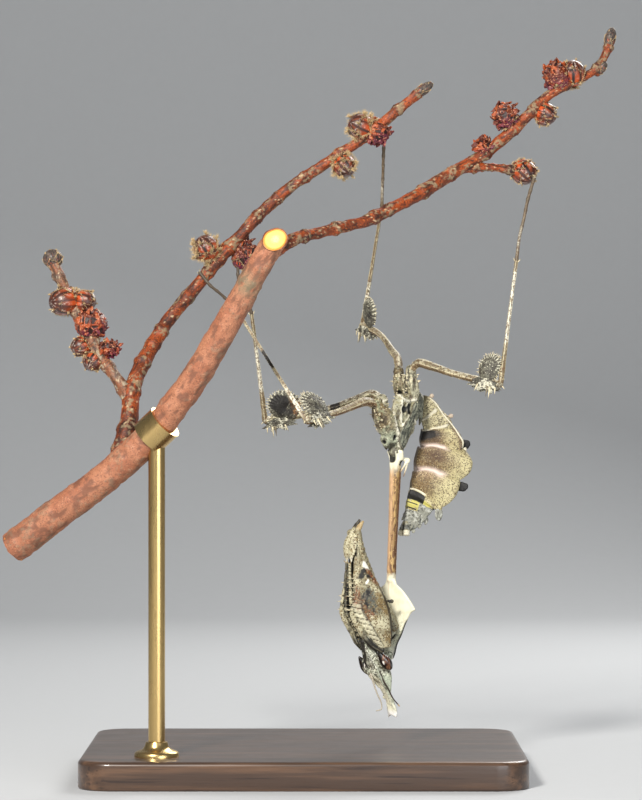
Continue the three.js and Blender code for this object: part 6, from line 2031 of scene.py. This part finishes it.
def head():
    parts = [limb(middle(FACE), [0.6, 1.15, 1.75, 2.15, 1.7], [0.5, 0.9, 1.12, 1.2, 0.95], BODY.right, sides=40,
                  steps=50)]
    crown = limb(middle(CROWN), [1.75, 1.62, 1.05, 0.92, 1.2], [0.95, 0.75, 0.5, 0.4, 0.34], BODY.right,
                 sides=40, steps=50, ends=(1, 0.4))
    parts.append(crown)
    down = unit(BODY.at(0.45, 0, 9.9) - BODY.at(-0.25, 0, 12.7))
    tip = [(-0.95, -0.4), (-0.86, 0.9), (-0.92, 1.8), (-1.16, 3.08), (-0.98, 3.0), (-0.6, 2.72), (-0.27, 2.42),
           (0.15, 2.52), (0.62, 2.72), (1.03, 2.84), (1.22, 2.3), (1.3, 1.7), (1.15, 0.9), (0.95, -0.4)]
    outline = np.vstack([lerp(np.array(a, float), np.array(b, float), k / 8) for a,
                         b in zip(tip, tip[1:] + tip[:1]) for k in range(8)])
    parts.append(slab(outline, BODY.at(-0.25, 0, 12.7), BODY.right, down, 0.62, rows=12, rim=0.5))
    # neck with its soft folds
    neck = limb(middle([(-3.9, 20), (-2.4, 20.7), (-1.1, 20.6), (-0.3, 21.2)]), [1.0, 0.82, 0.78, 0.7],
                sides=28, steps=40)
    neck.push(0.06 * np.cos(2 * math.pi * 7 * neck.values["t"]))
    parts.append(neck)
    stripes, cheeks, rims = [], [], []
    for sign in SIDES.values():
        at = lambda b, s, z: BODY.at(b, s * sign, z)
        lateral = [at(-3.0, 2.0, 19.2), at(-2.4, 1.85, 18.0), at(-1.75, 1.35, 16.4), at(-1.25, 0.9, 14.8),
                   at(-0.9, 0.75, 13.7)]
        parts.append(limb(lateral, [0.32, 0.42, 0.36, 0.3, 0.12], sides=14, steps=40))
        cheek = [at(-7.0, 0.55, 23.4), at(-6.1, 1.15, 22.3), at(-5.2, 1.75, 21.2), at(-4.9, 2.1, 20.4)]
        cheeks.append(cheek)
        parts.append(limb(cheek, [0.2, 0.26, 0.28, 0.2], sides=12, steps=30))
        for a, size in ((0.26, 0.13), (0.62, 0.14)):
            line = [BODY.at(b, a * sign * h, z) + FRONT * d for b, z, h, d in
                    ((-6.7, 23.1, 0.9, 0.58), (-5.4, 21.5, 1.3, 0.92), (-4.5, 20.1, 1.9, 1.02),
                     (-3.9, 19.0, 1.8, 1.0))]
            stripes.append(line)
            parts.append(limb(line, [size * 0.6, size, size, size * 0.8], sides=10, steps=34))
        # socket and stub of the antenna, and the brow that runs down to the crown
        parts.append(ball(BODY.at(-4.05, 0.62 * sign, 18.9) + FRONT * 1.0, (0.42, 0.42, 0.3), FRONT,
                          sides=20, rows=10))
        brow = [BODY.at(-4.6, 1.25 * sign, 19.7) + FRONT * 0.75, BODY.at(-3.8, 1.2 * sign, 18.3) + FRONT * 0.75,
                BODY.at(-2.9, 1.05 * sign, 17.2) + FRONT * 0.7, BODY.at(-1.9, 0.8 * sign, 15.6) + FRONT * 0.4]
        parts.append(limb(brow, [0.22, 0.32, 0.26, 0.14], sides=12, steps=34))
        # palps and jaws at the mouth
        parts.append(limb([at(-7.0, 0.35, 23.7), at(-7.3, 0.75, 24.2), at(-6.9, 1.0, 24.5),
                           at(-6.5, 0.95, 24.0)],
                          [0.17, 0.16, 0.15, 0.1], sides=10, steps=20))
        parts.append(limb([at(-6.9, 0.3, 23.9), at(-6.6, 0.65, 24.5), at(-6.1, 0.85, 24.4)], [0.16, 0.15, 0.1],
                          sides=10, steps=18))
        parts.append(ball(at(-6.7, 0.42, 23.5), (0.4, 0.38, 0.62), FACE_DOWN, sides=18, rows=10))
        eye = at(-4.0, 2.28, 19.7) + 0.55 * sign * UP
        ring = [eye + 1.02 * math.cos(a) * unit(FRONT + 0.1 * UP) + 1.7 * math.sin(a) * FACE_DOWN
                - 0.3 * sign * BODY.right for a in np.linspace(0, 2 * math.pi, 25)]
        rims.append(ring)
        parts.append(limb(ring, [0.16, 0.16], sides=10, steps=60, ends=(0, 0)))
    # clypeus, lip and the small ridge between the antennae
    parts.append(ball(BODY.at(-6.55, 0, 22.95) + FRONT * 0.35, (0.78, 0.3, 0.62), FACE_DOWN, sides=24, rows=12,
                      wide=BODY.right))
    parts.append(ball(BODY.at(-7.15, 0, 23.75) + FRONT * 0.2, (0.5, 0.28, 0.5), FACE_DOWN, sides=20, rows=12,
                      wide=BODY.right))
    parts.append(limb([BODY.at(-4.3, 0, 19.5) + FRONT * 1.0, BODY.at(-3.5, 0, 18.2) + FRONT * 0.95,
                       BODY.at(-2.6, 0, 17) + FRONT * 0.72], [0.3, 0.36, 0.2], sides=14, steps=20))
    parts.append(ball(BODY.at(-0.62, -1.12, 13.55), (0.3, 0.2, 0.42), down, sides=12, rows=8))
    skin = fused(joined(parts), 0.095)
    p = skin.points
    b, s = local(BODY, p)
    z = p[:, 2]
    depth = (p - BODY.at(-4.6, 0, 20.2)) @ FRONT
    stripe = np.clip(sum(nearness(p, one, 0.16, 60) for one in stripes), 0, 1)
    cheek = np.clip(sum(nearness(p, one, 0.42, 60) for one in cheeks), 0, 1)
    rim = np.clip(sum(nearness(p, one, 0.34, 60) for one in rims), 0, 1)
    on_crown = smooth(18.2, 17.2, z)
    wide = along([2.0, 2.1, 1.75, 1.15, 0.7], (z - 18.6) / 5.2)
    front = smooth(-0.1, 0.25, depth)
    skin.push(0.035 * rough(p, 0.6, 5) + 0.03 * rough(p, 1.4, 6) + 0.05 * on_crown * rough(p, 0.9, 7)
              - 0.05 * bell(s, 0.0, 0.14) * smooth(17.6, 16.6, z) * smooth(11.6, 12.6, z))
    skin = bumps(skin, 0.27, 0.045, share=0.6, seed=17, where=np.clip(0.35 + on_crown, 0, 1))
    skin.set(
        cream=np.clip(on_crown * smooth(0.75, 0.2, s) * smooth(-0.9, -0.2, noise(p, 1.0, 4))
                      + 0.6 * smooth(12.4, 11.2, z), 0, 1),
        green=np.clip(on_crown * smooth(0.35, 0.9, s + 0.25 * (b + 1.5)) * smooth(13.2, 14.8, z), 0, 1),
        brown=0.7 * bell(s, 0.2, 0.7) * bell(z, 19.4, 0.7) + 0.6 * rim + 0.5 * smooth(0.2, 0.7, b + 0.25)
        * on_crown,
        speck=1 - 0.6 * on_crown,
        stripe=(np.clip(1.2 * sum(bell(np.abs(s) / wide, a, 0.075) for a in (0.12, 0.45)), 0, 1)
                * smooth(18.2, 19.2, z) * front * smooth(-0.9, -0.1, noise(p, 0.8, 19))),
        ridge=stripe * smooth(17.8, 19, z),
        white=np.clip(smooth(11.5, 10.7, z + 0.25 * rough(p, 0.4, 12))
                      + 0.5 * bell(s, -0.85, 0.25) * smooth(13.6, 12.6, z), 0, 1),
        black=np.clip(smooth(0.66, 0.84, -s / wide) * smooth(18.9, 20.4, z)
                      + 0.8 * bell(s / wide, 1.0, 0.08) * smooth(19.4, 20.4, z)
                      + 0.6 * smooth(23.9, 24.4, z) + 0.75 * rim * smooth(0.1, -0.2, depth)
                      + smooth(0.95, 0.6, b + s + 7.5 - 0.183 * (22.9 - z)) * smooth(18.4, 19.4, z)
                      + smooth(-0.9, -1.3, s) * smooth(18.6, 19.6, z) * smooth(0.75, 0.3, depth), 0, 1)
        * smooth(-0.7, 0.0, noise(p, 0.7, 71) + 0.4),
    )
    piece("head_skin", skin, HEAD, ["head", "crown"])

    dot = []
    for side, sign in SIDES.items():
        centre = BODY.at(-4.05, 2.42 * sign, 19.75 + 0.55 * sign) + (0.12 if sign < 0 else 0) * BODY.right
        axis = unit(FACE_DOWN + 0.1 * BODY.right)
        eye = ball(centre, (1.04, 1.16, 1.98), axis, sides=72, rows=54, wide=FRONT)
        d = (eye.points - centre) @ axis / 1.98
        middle_line = centre + np.outer(d, axis) * 1.98
        point = smooth(0.1, -1.0, d)
        eye.points = (middle_line + (eye.points - middle_line) * (1 - 0.42 * point)[:, None]
                      - np.outer(0.42 * point, axis) + np.outer(0.1 * point, FRONT))
        across = (eye.points - centre) @ FRONT / 1.1
        outwards = (eye.points - centre) @ BODY.right * sign / 1.1
        eye.set(dark=np.clip(smooth(-0.35, -1.1, d) + smooth(0.45, 0.95, across - 0.15 * d)
                             + 0.9 * smooth(-0.5, -0.9, across) + 0.25 * rough(eye.points, 0.8, 3)
                             + 0.9 * smooth(0.74, 0.96, (eye.points - centre)[:, 0] / 1.1) * (sign > 0)
                             + (0.9 * smooth(0.55, 0.1, d) if sign < 0
                                else 0.95 * smooth(-2.3, -2.6, sum(local(BODY, eye.points)))), 0, 1),
                glow=bell(d, 0.45, 0.5) * bell(outwards, 0.7, 0.5),
                # the pale patch is a painted highlight
                streak=nearness(eye.points, *EYE_HIGHLIGHTS[side]))
        piece(f"eye_{side}_ball", eye, EYE, [f"eye_{side}"])
    for s in (-0.34, 0, 0.34):
        b, z = (-3.75, 18.75) if s else (-3.35, 18.15)
        one = ball(BODY.at(b, s, z) + FRONT * 1.22, (0.15, 0.15, 0.12), FRONT, sides=16, rows=10)
        dot.append(one.set(dark=0.6, glow=0.7))
    piece("ocelli", joined(dot), EYE)

    threads = {"right": [(13.3, -3.7, 18.6), (14.3, -3.3, 16.5), (15.0, -2.6, 15.3), (15.9, -1.9, 13.5),
                         (17.1, -1.2, 12.0)],
               "left": [(11.9, -3.1, 18.0), (12.5, -3.0, 16.0), (13.1, -2.8, 14.3), (13.8, -2.6, 12.7),
                        (13.8, -2.6, 11.6), (12.9, -2.7, 11.3)]}
    for side, points in threads.items():
        thread = limb([np.array(q, float) for q in points], [0.26, 0.17, 0.15, 0.14, 0.12, 0.11], sides=12,
                      steps=150)
        t = thread.values["t"]
        joints = np.abs(np.sin(math.pi * t * 26))
        thread.push(-0.035 * smooth(0.45, 0.0, joints))
        right = side == "right"
        thread.set(dark=0.95 * smooth(0.97, 0.92, t) if right else 0.0,
                   tip=smooth(0.92, 0.96, t) if right else 0.0, pale=0.0 if right else smooth(0.3, 0.6, joints))
        piece(f"antenna_{side}_thread", thread, ANTENNA, [f"antenna_{side}"])


pronotum()
forelegs()
head()
